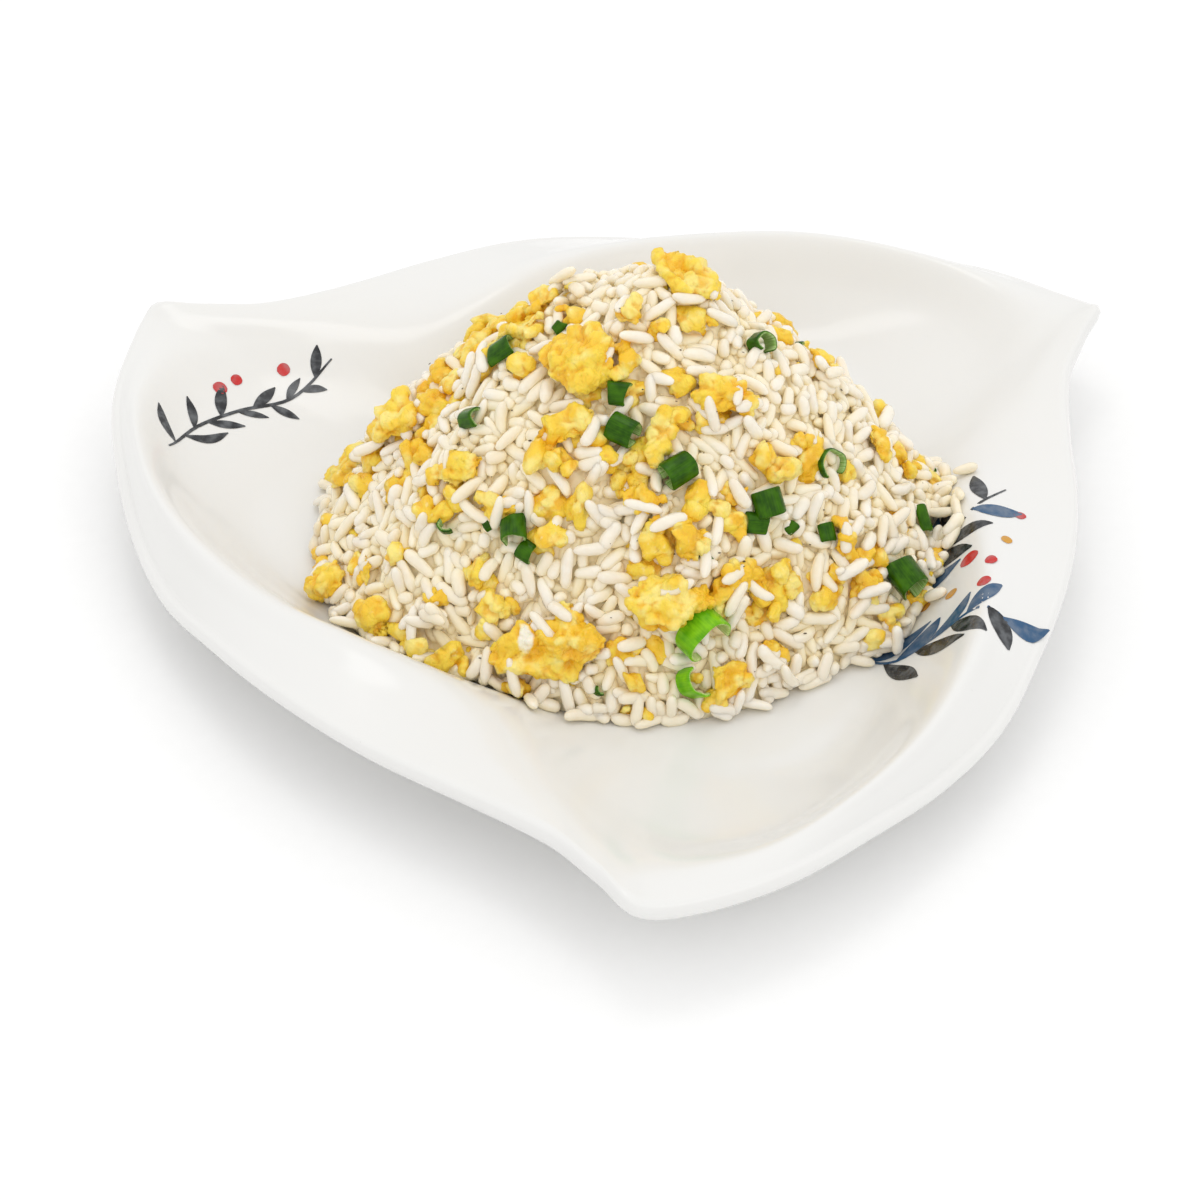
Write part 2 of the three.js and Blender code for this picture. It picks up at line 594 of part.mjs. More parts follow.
function addTopping(name, own, hollow, material) {
  let solid = solidOf(own).subtract(underToppings);
  for (const other of hollows) solid = solid.subtract(other);
  hollows.push(solidOf(hollow));
  addNode(name, geometryOf(largest(solid)), material);
}

SCALLIONS.forEach((leaf, index) => {
  const material = leaf.pale ? materials.paleLeaf : materials.leaf;
  addTopping(numbered("scallion", index), leafGeometry(leaf), leafHollow(leaf), material);
});
EGGS.forEach((egg, index) => {
  const grow = Math.max(...egg.size) > FINE_CURD ? 3 * GAP : GAP;
  addTopping(numbered("egg", index), curdGeometry(egg, index), curdGeometry(egg, index, grow), materials.egg);
});
addNode("rice_heap", geometryOf(largest(heapSolid())), materials.rice);
addNode("plate", plateGeometry(), materials.glaze);

// The origin goes to the middle of the bounding box, on the table
const bounds = new THREE.Box3().setFromObject(group);
const middle = bounds.getCenter(new THREE.Vector3());
for (const mesh of group.children) mesh.position.set(-middle.x, -middle.y, -bounds.min.z);

export default group;
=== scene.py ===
# %% [markdown]
# # A plate of egg fried rice
#
# A glazed white plate with three swept tips carries a loose heap of cooked rice with
# scrambled egg and scallion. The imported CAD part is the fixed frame. Every piece made here
# stands for a plain solid of that frame, in the same place and with the same form, and
# gives it the surface of the real thing.

# %% Load the frame
import math

import bmesh
import bpy
import numpy as np
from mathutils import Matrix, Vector, noise
from mathutils.bvhtree import BVHTree


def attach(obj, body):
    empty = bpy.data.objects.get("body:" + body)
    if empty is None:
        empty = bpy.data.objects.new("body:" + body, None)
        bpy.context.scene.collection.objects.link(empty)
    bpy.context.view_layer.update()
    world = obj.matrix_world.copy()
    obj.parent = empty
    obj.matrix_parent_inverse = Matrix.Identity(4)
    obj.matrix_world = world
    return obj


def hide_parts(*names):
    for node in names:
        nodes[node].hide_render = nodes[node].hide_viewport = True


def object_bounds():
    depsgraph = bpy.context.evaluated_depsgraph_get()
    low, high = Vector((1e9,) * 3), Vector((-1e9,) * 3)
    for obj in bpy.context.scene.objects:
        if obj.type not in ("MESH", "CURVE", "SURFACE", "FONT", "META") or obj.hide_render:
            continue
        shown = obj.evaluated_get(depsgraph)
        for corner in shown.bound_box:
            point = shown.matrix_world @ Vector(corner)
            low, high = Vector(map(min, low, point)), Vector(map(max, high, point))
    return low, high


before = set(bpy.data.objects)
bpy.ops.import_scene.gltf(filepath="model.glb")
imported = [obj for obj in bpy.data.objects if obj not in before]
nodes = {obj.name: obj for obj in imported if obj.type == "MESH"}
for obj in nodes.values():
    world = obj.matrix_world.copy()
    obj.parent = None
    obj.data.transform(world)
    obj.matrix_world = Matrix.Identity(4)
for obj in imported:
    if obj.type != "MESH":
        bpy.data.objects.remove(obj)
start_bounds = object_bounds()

MM = 0.001

# Blender seeds a part of its noise from the clock. With a seed the egg is the same each run.
NOISE_SEED = 1795887954
noise.seed_set(NOISE_SEED)

egg_nodes = sorted(name for name in nodes if name.startswith("egg_"))
scallion_nodes = sorted(name for name in nodes if name.startswith("scallion_"))
print("nodes:", len(nodes), "of them", len(egg_nodes), "egg and", len(scallion_nodes), "scallion")

# %% [markdown]
# ## Where the plate stands
#
# The plate repeats three times round the axis of its foot ring, and that axis isn't the
# middle of its bounding box. The ring's own points in the frame give the axis, so every
# size below can be written in millimetres from the plate's middle.

# %% Find the plate's axis from its foot ring
def solid_points(name):
    """The points of a solid of the frame, in millimetres."""
    return np.array([v.co for v in nodes[name].data.vertices]) / MM


plate_points = solid_points("plate")
foot_points = plate_points[plate_points[:, 2] < 0.01]
AXIS = (foot_points.min(0) + foot_points.max(0)) / 2
AXIS[2] = 0
print("plate axis in the frame, mm:", AXIS.round(2))


# %% Put arrays of points and faces into Blender
def mesh_object(name, points, faces):
    """A smooth mesh object from points in millimetres about the plate's axis."""
    mesh = bpy.data.meshes.new(name)
    placed = (np.asarray(points, float) + AXIS) * MM
    mesh.from_pydata(placed.tolist(), [], [tuple(face) for face in faces])
    mesh.polygons.foreach_set("use_smooth", [True] * len(mesh.polygons))
    obj = bpy.data.objects.new(name, mesh)
    bpy.context.scene.collection.objects.link(obj)
    return obj


def join(parts):
    """Points, faces and attributes of many small meshes as one."""
    points, faces, extra, start = [], [], [], 0
    for part_points, part_faces, part_extra in parts:
        points.append(part_points)
        faces += [tuple(start + k for k in face) for face in part_faces]
        extra.append(part_extra)
        start += len(part_points)
    return np.concatenate(points), faces, np.concatenate(extra)


def give_attribute(obj, name, values):
    """Keeps three numbers for each point of a mesh, for its material to read."""
    layer = obj.data.attributes.new(name, "FLOAT_VECTOR", "POINT")
    layer.data.foreach_set("vector", np.asarray(values, np.float32).ravel())


def dress(obj, material_slot, finish, *replaced):
    """The piece rides on the plate's body, and stands for the solids it replaces."""
    obj.data.materials.append(finish)
    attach(obj, "root")
    if replaced:
        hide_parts(*replaced)
    obj.data.calc_loop_triangles()
    print(obj.name, "has", len(obj.data.loop_triangles), "triangles")


# %% [markdown]
# ## Materials as expressions
#
# Ceramic, cooked rice, egg and leaf all vary over their surface. Wiring each node by hand
# is long and hard to read, and a picture could not follow four thousand grains. Here one
# class holds a material and another wraps a socket, so that shader maths reads like
# Python, and each material below is a few lines.

# %% Wrap a material and its sockets
class Value:
    """One output socket. Arithmetic on it adds a Math node."""

    def __init__(self, finish, socket):
        self.finish = finish
        self.socket = socket

    def output(self, name):
        """Another output of the same node."""
        return Value(self.finish, self.socket.node.outputs[name])

    def math(self, operation, first, second):
        return self.finish.node("ShaderNodeMath", {"operation": operation}, first, second)

    def __add__(self, other):
        return self.math("ADD", self, other)

    def __radd__(self, other):
        return self.math("ADD", other, self)

    def __sub__(self, other):
        return self.math("SUBTRACT", self, other)

    def __rsub__(self, other):
        return self.math("SUBTRACT", other, self)

    def __mul__(self, other):
        return self.math("MULTIPLY", self, other)

    def __rmul__(self, other):
        return self.math("MULTIPLY", other, self)


class Wiring:
    """A node tree, with one method for a node of any type."""

    def __init__(self, tree):
        self.tree = tree

    def fill(self, node, sockets):
        for key, value in sockets.items():
            if isinstance(key, str):
                name = key.replace("_", " ")
                socket = next(s for s in node.inputs if s.enabled and s.name == name)
            else:
                socket = node.inputs[key]
            if isinstance(value, Value):
                self.tree.links.new(value.socket, socket)
            elif socket.type == "RGBA":
                socket.default_value = (*value[:3], 1)
            else:
                socket.default_value = value

    def node(self, kind, settings, *ordered, **named):
        """A new node: its settings first, then the values or links of its sockets."""
        made = self.tree.nodes.new(kind)
        for name, value in settings.items():
            setattr(made, name, value)
        self.fill(made, {**dict(enumerate(ordered)), **named})
        return Value(self, next(s for s in made.outputs if s.enabled))

    def step(self, value, low, high):
        """0 at low, 1 at high, and smooth between them."""
        return self.node("ShaderNodeMapRange", {"interpolation_type": "SMOOTHSTEP"},
                         Value=value, From_Min=low, From_Max=high)

    def mix(self, factor, first, second):
        return self.node("ShaderNodeMix", {"data_type": "RGBA"},
                         Factor=factor, A=first, B=second)


class Finish(Wiring):
    """A material with one Principled shader. Constants go on the shader's own sockets."""

    def __init__(self, name, **constants):
        self.material = bpy.data.materials.new(name)
        self.material.use_nodes = True
        super().__init__(self.material.node_tree)
        self.feed(**constants)

    def feed(self, **sockets):
        self.fill(self.tree.nodes["Principled BSDF"], sockets)

    def place(self):
        """Where a point is, in metres in the frame."""
        return self.node("ShaderNodeTexCoord", {}).output("Object")

    def vector(self, name):
        """A mesh attribute of three numbers."""
        return self.node("ShaderNodeAttribute", {"attribute_name": name}).output("Vector")

    def attribute(self, name):
        """The three numbers of a mesh attribute, as values."""
        parts = self.node("ShaderNodeSeparateXYZ", {}, self.vector(name))
        return parts, parts.output("Y"), parts.output("Z")

    def scaled(self, vector, factors):
        return self.node("ShaderNodeVectorMath", {"operation": "MULTIPLY"}, vector, factors)

    def clouds(self, vector, scale, detail=2.0, roughness=0.5, distortion=0.0):
        """Noise from 0 to 1. scale counts the blobs in a metre."""
        return self.node("ShaderNodeTexNoise", {}, Vector=vector, Scale=scale, Detail=detail,
                         Roughness=roughness, Distortion=distortion)

    def bump(self, height, depth, strength=1.0):
        """Raises the surface by height, from 0 to 1, times depth in metres."""
        return self.node("ShaderNodeBump", {}, Strength=strength, Distance=depth, Height=height)


# %% [markdown]
# ## The plate's form
#
# The plate is thick glazed porcelain, pressed in a mould. Its section changes round one
# third of the circle, from a low pointed tip to a high curled wall and back. A lathe can't
# make the swept tips, and a sculpted mesh would not repeat, so the plate is a loft: a few
# stations in a third, and periodic curves through them.

# %% Name the plate's sizes
TIP_REACH = 125.0
TIP_HEIGHT = 24.9
FLOOR_HEIGHT = 8.0
FIRST_TIP_ANGLE = 149.5
RIM_BULGE = 2.2
RIM_DEPTH = 4.9
RIM_ROUND = [(0.45, 0.04), (0.75, 0.14), (1, 0.48), (0.6, 0.84), (-0.4, 1)]
WALL_DEPTH = 5.5
BASE_UNDERSIDE = 3.0
FOOT_OUTER = 52.0
FOOT_INNER = 46.0
FOOT_TAPER = 1.5
FOOT_RECESS = 2.4
FLOOR_EDGE = 9.0
WING_BOW = 0.6
PLATE_STEPS = 90
TIP_CROWDING = 0.6

# One third of the plate, clockwise from a tip. Each row has its turn in degrees, the
# floor's radius, then the radius and height of the slope, the shoulder and the rim.
THIRD = np.array([
    [0, 66, 92, 13.8, 108, 19.9, TIP_REACH, TIP_HEIGHT],
    [2.5, 63.5, 88, 13.9, 102.5, 19.3, 117.5, 24.1],
    [8, 60, 79, 14.1, 91.5, 18.7, 106.6, 22.6],
    [18, 57.5, 67.5, 14.6, 77, 19, 99, 21.8],
    [30, 58, 65.5, 15.5, 73.5, 22.4, 96, 21.9],
    [45, 61, 69, 16, 78.5, 26, 95.5, 22.2],
    [60, 66, 75.5, 16, 86, 26, 97, 19.8],
    [72, 72.5, 82, 16, 92.8, 25.6, 101, 16.8],
    [84, 80, 90.5, 16, 100.8, 25.4, 105.6, 17.6],
    [95, 84, 98, 15.4, 107.6, 24.4, 111.2, 19.8],
    [106, 81, 103, 15, 114, 22.6, 119, 21],
    [114, 74, 100.5, 14.4, 114.5, 21.4, 123.6, 21.8],
    [118, 69, 95.5, 14, 110.8, 20.5, 125.6, 23.2],
])


# %% Draw smooth curves through stations and knots
def round_third(turn):
    """The values of THIRD at each turn, by a periodic cubic through the stations."""
    turns = THIRD[:, 0]
    count = len(turns)
    wrapped = np.mod(turn, 120)
    i = np.searchsorted(turns, wrapped, side="right") - 1

    def station(k):
        return turns[k % count] + 120 * (k // count), THIRD[k % count, 1:]

    (t0, v0), (t1, v1), (t2, v2), (t3, v3) = (station(i + k) for k in (-1, 0, 1, 2))
    span = (t2 - t1)[:, None]
    slope_in = (v2 - v0) / (t2 - t0)[:, None] * span
    slope_out = (v3 - v1) / (t3 - t1)[:, None] * span
    return hermite(v1, slope_in, v2, slope_out, ((wrapped - t1) / (t2 - t1))[:, None])


def hermite(start, slope_in, end, slope_out, u):
    return (start * (1 + 2 * u) * (1 - u) ** 2 + slope_in * u * (1 - u) ** 2
            + end * u * u * (3 - 2 * u) + slope_out * u * u * (u - 1))


def curve_through(knots, per_span):
    """A centripetal curve through knots, an array of shape (turns, knots, 2)."""
    first = 2 * knots[:, :1] - knots[:, 1:2]
    last = 2 * knots[:, -1:] - knots[:, -2:-1]
    k = np.concatenate([first, knots, last], axis=1)
    step = np.sqrt(np.linalg.norm(np.diff(k, axis=1), axis=2))[..., None]
    found = []
    for s in range(knots.shape[1] - 1):
        p0, p1, p2, p3 = (k[:, s + j] for j in range(4))
        d0, d1, d2 = (step[:, s + j] for j in range(3))
        slope_in = d1 * ((p1 - p0) / d0 - (p2 - p0) / (d0 + d1) + (p2 - p1) / d1)
        slope_out = d1 * ((p2 - p1) / d1 - (p3 - p1) / (d1 + d2) + (p3 - p2) / d2)
        found += [hermite(p1, slope_in, p2, slope_out, u)
                  for u in np.linspace(0, 1, per_span, endpoint=False)]
    return np.stack(found + [knots[:, -1]], axis=1)


def ring(radius, height):
    """One knot of the section at every turn."""
    return np.stack(np.broadcast_arrays(radius, height), -1).astype(float)


def glaze_lines(turn, per_span):
    """The glazed upper side at each turn, as [radius, height] from the floor to the rim."""
    floor, slope_r, slope_z, shoulder_r, shoulder_z, rim_r, rim_z = round_third(turn).T
    return curve_through(np.stack([
        ring(floor - FLOOR_EDGE, FLOOR_HEIGHT),
        ring(floor, FLOOR_HEIGHT + 0.5),
        ring(slope_r, slope_z),
        ring(shoulder_r, shoulder_z),
        ring((shoulder_r + rim_r) / 2, (shoulder_z + rim_z) / 2 + WING_BOW),
        ring(rim_r, rim_z),
    ], axis=1), per_span)


def underside_lines(turn):
    """From the rim's top line round its edge and back to the inside of the foot ring."""
    floor, slope_r, slope_z, shoulder_r, shoulder_z, rim_r, rim_z = round_third(turn).T
    one = np.ones_like(floor)
    under = [ring(rim_r, rim_z)]
    under += [ring(rim_r + out * RIM_BULGE, rim_z - down * RIM_DEPTH) for out, down in RIM_ROUND]
    under += [
        ring(0.7 * shoulder_r + 0.3 * rim_r, 0.7 * shoulder_z + 0.3 * rim_z - WALL_DEPTH),
        ring(slope_r + 2.5, slope_z - WALL_DEPTH),
        ring(floor + 1, BASE_UNDERSIDE),
        ring(one * (FOOT_OUTER + FOOT_TAPER + 1), BASE_UNDERSIDE),
    ]
    foot = [
        ring(one * (FOOT_OUTER + FOOT_TAPER), BASE_UNDERSIDE - 0.6),
        ring(one * (FOOT_OUTER + 0.3), 0.5),
        ring(one * (FOOT_OUTER - 0.5), 0.0),
        ring(one * (FOOT_INNER + 0.5), 0.0),
        ring(one * (FOOT_INNER - 0.3), 0.5),
        ring(one * (FOOT_INNER - FOOT_TAPER), FOOT_RECESS),
        ring(one * (FOOT_INNER - 8), FOOT_RECESS),
    ]
    rounded = curve_through(np.stack(under, axis=1), 5)[:, 1:]
    return np.concatenate([rounded, curve_through(np.stack(foot, axis=1), 3)], axis=1)


# %% Loft the plate
def plate_turns():
    """Turns round the plate, closer together near the tips, where the rim bends most."""
    u = np.arange(PLATE_STEPS) / PLATE_STEPS
    third = 120 * (u - TIP_CROWDING * np.sin(2 * math.pi * u) / (2 * math.pi))
    return np.concatenate([third, third + 120, third + 240])


def grid_faces(rows, columns, closed):
    """Quads over a grid of points. If closed, the last row joins the first."""
    bands = rows if closed else rows - 1
    i, j = np.meshgrid(np.arange(bands), np.arange(columns - 1), indexing="ij")
    a = i * columns + j
    b = (i + 1) % rows * columns + j
    return np.stack([a, b, b + 1, a + 1], -1).reshape(-1, 4)


turns = plate_turns()
middle = np.stack([ring(np.full_like(turns, r), FLOOR_HEIGHT) for r in (12, 30)], axis=1)
sections = np.concatenate([middle, glaze_lines(turns, 8), underside_lines(turns)], axis=1)
angles = np.radians(FIRST_TIP_ANGLE - turns)[:, None]
loft = np.stack([sections[..., 0] * np.cos(angles), sections[..., 0] * np.sin(angles),
                 sections[..., 1]], -1)
rows, columns = loft.shape[:2]
plate_mesh_points = np.concatenate([
    loft.reshape(-1, 3), [[0, 0, FLOOR_HEIGHT], [0, 0, FOOT_RECESS]],
])
plate_faces = grid_faces(rows, columns, True).tolist()
for row in range(rows):
    after = (row + 1) % rows
    plate_faces.append((rows * columns, after * columns, row * columns))
    plate_faces.append((rows * columns + 1, (row + 1) * columns - 1, (after + 1) * columns - 1))
low_corner = plate_points.min(0) - AXIS
high_corner = plate_points.max(0) - AXIS
plate_mesh_points = np.clip(plate_mesh_points, low_corner, high_corner)
plate = mesh_object("glazed_plate", plate_mesh_points, plate_faces)

# %% [markdown]
# ## Glaze
#
# The glaze is a clear glass coat on white porcelain: almost even in colour, a little warm,
# with a soft ripple that shows only in its highlights. The ground edge of the foot ring
# has no glaze. Roughness and colour change there by height, and the ripple is a bump of
# long waves, so the plate isn't a flat white.

# %% Make the glaze
glaze = Finish("glaze", IOR=1.5, Specular_IOR_Level=0.38)
where = glaze.place()
height = glaze.node("ShaderNodeSeparateXYZ", {}, where).output("Z")
unglazed = 1 - glaze.step(height, 0.0003, 0.0008)
white = glaze.mix(glaze.clouds(where, 28, 3), (0.785, 0.781, 0.764), (0.805, 0.802, 0.787))
bare_clay = glaze.mix(glaze.clouds(where, 900, 3), (0.50, 0.47, 0.41), (0.60, 0.57, 0.51))
pinholes = glaze.step(glaze.clouds(where, 1500, 1), 0.80, 0.84)
glaze.feed(
    Base_Color=glaze.mix(unglazed, glaze.mix(pinholes * 0.3, white, (0.42, 0.40, 0.36)), bare_clay),
    Roughness=0.12 + 0.06 * glaze.clouds(where, 60) + 0.5 * unglazed,
    Normal=glaze.bump(glaze.clouds(where, 45, 1) + 0.02 * glaze.clouds(where, 700, 2), 0.0002, 0.5),
)
dress(plate, "glaze", glaze.material, "plate")

# %% [markdown]
# ## The photograph's camera
#
# The camera looks down at about 41 degrees. Its distance and lens were worked out from the
# plate's outline. It is made before the food, because some pieces are placed by the pixel
# where they show: the line of sight through that pixel is followed until it meets the
# heap or the glaze, so the piece still sits on what carries it.

# %% Place the camera
PHOTO_WIDTH = 1200
FOCAL_PIXELS = 3083.0
ELEVATION = math.radians(40.9)
DISTANCE = 676.7
AIM = np.array([-5.8, -12.25, -1.0])
BACK = np.array([0, -math.cos(ELEVATION), math.sin(ELEVATION)])
RIGHT = np.array([1.0, 0, 0])
UP = np.cross(BACK, RIGHT)
EYE = AIM + DISTANCE * BACK

camera = bpy.data.objects.new("camera", bpy.data.cameras.new("camera"))
camera.data.lens = FOCAL_PIXELS / PHOTO_WIDTH * camera.data.sensor_width
camera.location = (EYE + AXIS) * MM
camera.rotation_euler = (math.pi / 2 - ELEVATION, 0, 0)
bpy.context.scene.collection.objects.link(camera)
bpy.context.scene.camera = camera
print("camera at", [round(c, 3) for c in camera.location], "lens", round(camera.data.lens, 1))

# %% [markdown]
# ## Where the glaze and the heap are
#
# Grains have to lie on something. The glaze and the bare core of the heap are both
# heights over a place on the plate, so each is a function of x and y in millimetres. The
# core is a leaning dome on an uneven oval, the same as the solid in the frame.


# %% Look up the height of the glaze
PROFILE_RADII = np.arange(0, 127, 0.5)
PROFILE_TURNS = np.arange(0, 120, 0.5)
profiles = np.array([np.interp(PROFILE_RADII, line[:, 0], line[:, 1])
                     for line in glaze_lines(PROFILE_TURNS, 6)])


def glaze_height(x, y):
    turn = np.mod(FIRST_TIP_ANGLE - np.degrees(np.arctan2(y, x)), 120) / 0.5
    out = np.minimum(np.hypot(x, y), PROFILE_RADII[-2]) / 0.5
    i = turn.astype(int) % len(PROFILE_TURNS)
    k = out.astype(int)
    u = turn - turn.astype(int)
    v = out - k
    after = (i + 1) % len(PROFILE_TURNS)
    near = profiles[i, k] * (1 - v) + profiles[i, k + 1] * v
    far = profiles[after, k] * (1 - v) + profiles[after, k + 1] * v
    return near * (1 - u) + far * u


# %% Describe the heap
HEAP_X = 1.0
HEAP_Y = -6.0
HEAP_HALF_WIDTH = 69.0
HEAP_FRONT = 54.0
HEAP_BACK = 61.0
HEAP_HEIGHT = 65.5
HEAP_BULGE = 1.2
PEAK_X = 4.0
PEAK_Y = 8.0


def heap_reach(angle):
    depth = np.where(np.sin(angle) < 0, HEAP_FRONT, HEAP_BACK)
    even = 1 / np.hypot(np.cos(angle) / HEAP_HALF_WIDTH, np.sin(angle) / depth)
    bulges = np.sin(3 * angle + 0.6) + 0.8 * np.sin(5 * angle + 2.1) + 0.6 * np.sin(9 * angle)
    return even + HEAP_BULGE * bulges


def heap_place(angle, fraction):
    """A place on the heap: fraction is 0 at the peak and 1 on the outline."""
    out = heap_reach(angle) * fraction
    return (HEAP_X + PEAK_X * (1 - fraction) + out * np.cos(angle),
            HEAP_Y + PEAK_Y * (1 - fraction) + out * np.sin(angle))


def heap_fraction(x, y):
    fraction = np.ones_like(x)
    for _ in range(8):
        dx = x - HEAP_X - PEAK_X * (1 - fraction)
        dy = y - HEAP_Y - PEAK_Y * (1 - fraction)
        fraction = np.minimum(1.5, np.hypot(dx, dy) / heap_reach(np.arctan2(dy, dx)))
    return fraction


def core_height(x, y):
    fraction = np.minimum(1, heap_fraction(x, y))
    dome = HEAP_HEIGHT * (1 - fraction ** 1.5) ** 0.85
    swell = 1.3 * np.sin(x / 9 + 1) * np.sin(y / 11) + 0.9 * np.sin(x / 5 - y / 7)
    return np.maximum(FLOOR_HEIGHT + dome + swell * np.minimum(1, dome / 10), glaze_height(x, y))


# %% Keep both heights on a grid
CELL = 0.5
GRID_REACH = 118.0
grid_x, grid_y = np.meshgrid(*[np.arange(-GRID_REACH, GRID_REACH, CELL)] * 2, indexing="ij")
glaze_grid = glaze_height(grid_x, grid_y)
core_grid = core_height(grid_x, grid_y)
fraction_grid = heap_fraction(grid_x, grid_y)
rise_x, rise_y = np.gradient(core_grid, CELL)
normal_grid = np.stack([-rise_x, -rise_y, np.ones_like(rise_x)], -1)
normal_grid /= np.linalg.norm(normal_grid, axis=-1, keepdims=True)


def read_grid(grid, x, y):
    """A grid's value at places between its cells."""
    u = (np.clip(x, 1 - GRID_REACH, GRID_REACH - 1) + GRID_REACH) / CELL
    v = (np.clip(y, 1 - GRID_REACH, GRID_REACH - 1) + GRID_REACH) / CELL
    i = u.astype(int)
    j = v.astype(int)
    u, v = (u - i), (v - j)
    if grid.ndim == 3:
        u, v = u[..., None], v[..., None]
    return ((grid[i, j] * (1 - v) + grid[i, j + 1] * v) * (1 - u)
            + (grid[i + 1, j] * (1 - v) + grid[i + 1, j + 1] * v) * u)


def read_one(grid, x, y):
    """A grid's value at one place."""
    return read_grid(grid, np.array([x]), np.array([y]))[0]


def on_core(x, y):
    """The point of the bare core over one place."""
    return np.array([x, y, read_one(core_grid, x, y)])


# %% Follow a line of sight to the heap
SIGHT_BEFORE = 130
SIGHT_BEHIND = 110
SIGHT_STEP = 0.3
SIGHT_EDGE = 1.01


def line_of_sight(pixel):
    """Where the ray through a pixel of the photograph meets the core, or comes closest.

    None, if it passes beside the heap.
    """
    x, y = pixel
    middle = PHOTO_WIDTH / 2
    ray = (x - middle) / FOCAL_PIXELS * RIGHT + (middle - y) / FOCAL_PIXELS * UP - BACK
    steps = np.arange(DISTANCE - SIGHT_BEFORE, DISTANCE + SIGHT_BEHIND, SIGHT_STEP)
    trail = EYE + steps[:, None] * ray
    gap = trail[:, 2] - read_grid(core_grid, trail[:, 0], trail[:, 1])
    gap[heap_fraction(trail[:, 0], trail[:, 1]) > SIGHT_EDGE] = np.inf
    below = np.flatnonzero(gap <= 0)
    if not len(below) and gap.min() == np.inf:
        return None
    at = trail[below[0] if len(below) else np.argmin(gap)]
    return on_core(at[0], at[1])


def slope_frame(at):
    """Axes on the heap at a point, as columns: across the slope, up it, and out of it."""
    out = read_one(normal_grid, at[0], at[1])
    out = out / np.linalg.norm(out)
    across = RIGHT - RIGHT @ out * out
    across /= np.linalg.norm(across)
    return np.stack([across, np.cross(out, across), out], axis=1)


print("heap top", round(core_grid.max(), 1), "mm above the table")

# %% [markdown]
# ## Painted sprigs
#
# The plate has a small hand painting on two of its wings, in ink black, blue, red and
# ochre. Here it is a plain design of twigs with leaves and berries. A picture wrapped on
# the plate would stretch on the curled wings. Each brush stroke is instead a thin strip
# of paint that follows the glaze, a tenth of a millimetre above it, and widens and
# narrows as a brush does.

# %% Draw brush strokes on the glaze
PAINT_LIFT = 0.12
INK = (0.012, 0.013, 0.016)
BLUE = (0.020, 0.085, 0.190)
RED = (0.56, 0.020, 0.018)
OCHRE = (0.62, 0.30, 0.03)


def brush(path, width, fullness, colour):
    """A strip along a path, widest in the middle. Less fullness makes blunter ends."""
    line = curve_through(np.array([path], float), 6)[0]
    ahead = np.gradient(line, axis=0)
    ahead /= np.linalg.norm(ahead, axis=1, keepdims=True)
    side = np.stack([-ahead[:, 1], ahead[:, 0]], -1)
    share = np.linspace(0, 1, len(line))
    half = width / 2 * np.sin(math.pi * np.clip(share, 0.02, 0.98)) ** fullness
    across = np.linspace(-1, 1, 5)
    flat = line[:, None] + (half[:, None] * across)[..., None] * side[:, None]
    height = glaze_height(flat[..., 0], flat[..., 1]) + PAINT_LIFT
    points = np.concatenate([flat, height[..., None]], -1)
    faces = grid_faces(len(line), 5, False)[:, ::-1]
    return points.reshape(-1, 3), faces.tolist(), np.tile(colour, (points.size // 3, 1))


def twig(path, leaves, length, width, colours, random):
    """A stem with leaves to either side, which grow shorter towards its tip."""
    line = curve_through(np.array([path], float), 12)[0]
    strokes = [brush(path, 0.9, 0.3, colours[0])]
    for k in range(leaves):
        share = (k + 1) / (leaves + 1)
        i = int(share * (len(line) - 2))
        ahead = line[i + 1] - line[i]
        angle = math.atan2(ahead[1], ahead[0]) + (-1) ** k * random.uniform(0.55, 0.95)
        size = length * (1.1 - 0.4 * share) * random.uniform(0.85, 1.15)
        out = np.array([math.cos(angle), math.sin(angle)])
        bend = np.array([-out[1], out[0]]) * random.uniform(-0.12, 0.12) * size
        leaf = [line[i], line[i] + 0.5 * size * out + bend, line[i] + size * out]
        wide = width * random.uniform(0.8, 1.2)
        strokes.append(brush(leaf, wide, 0.8, colours[k % len(colours)]))
    return strokes


def berry(x, y, size, colour):
    return brush([(x - size / 2, y), (x, y + 0.1), (x + size / 2, y)], size, 0.5, colour)


# %% Paint the two wings
paint_random = np.random.default_rng(7)
strokes = twig([(-102, 19), (-97, 30), (-88, 38), (-77, 43), (-68, 53)], 11, 9, 2.3,
               [INK], paint_random)
strokes += [berry(-93, 43, 3.2, RED), berry(-89.5, 46, 2.6, RED), berry(-79, 50, 3.0, RED)]
strokes += twig([(50, -30), (60, -21), (70, -15), (82, -4)], 9, 13, 4.2, [INK, BLUE, INK], paint_random)
strokes += twig([(48, -42), (58, -44), (70, -44), (82, -50)], 9, 12, 3.8, [BLUE, INK], paint_random)
BERRIES = [
    (72, -27, 3.4, RED), (76, -31, 2.6, RED), (68, -33, 2.2, OCHRE), (80, -24, 2.4, OCHRE),
    (74, -37, 2.8, RED), (84, -14, 2.6, RED), (63, -31, 2.2, OCHRE),
]
strokes += [berry(*spot) for spot in BERRIES]
points, faces, colours = join(strokes)
painting = mesh_object("painted_sprigs", points, faces)
give_attribute(painting, "paint", colours)
paint = Finish("overglaze_paint", IOR=1.5, Specular_IOR_Level=0.4)
washed = paint.step(paint.clouds(paint.place(), 420, 3), 0.35, 0.75)
paint.feed(
    Base_Color=paint.mix(washed * 0.35, paint.vector("paint"), (0.30, 0.32, 0.34)),
    Roughness=0.16 + 0.1 * washed,
)
dress(painting, "glaze", paint.material)

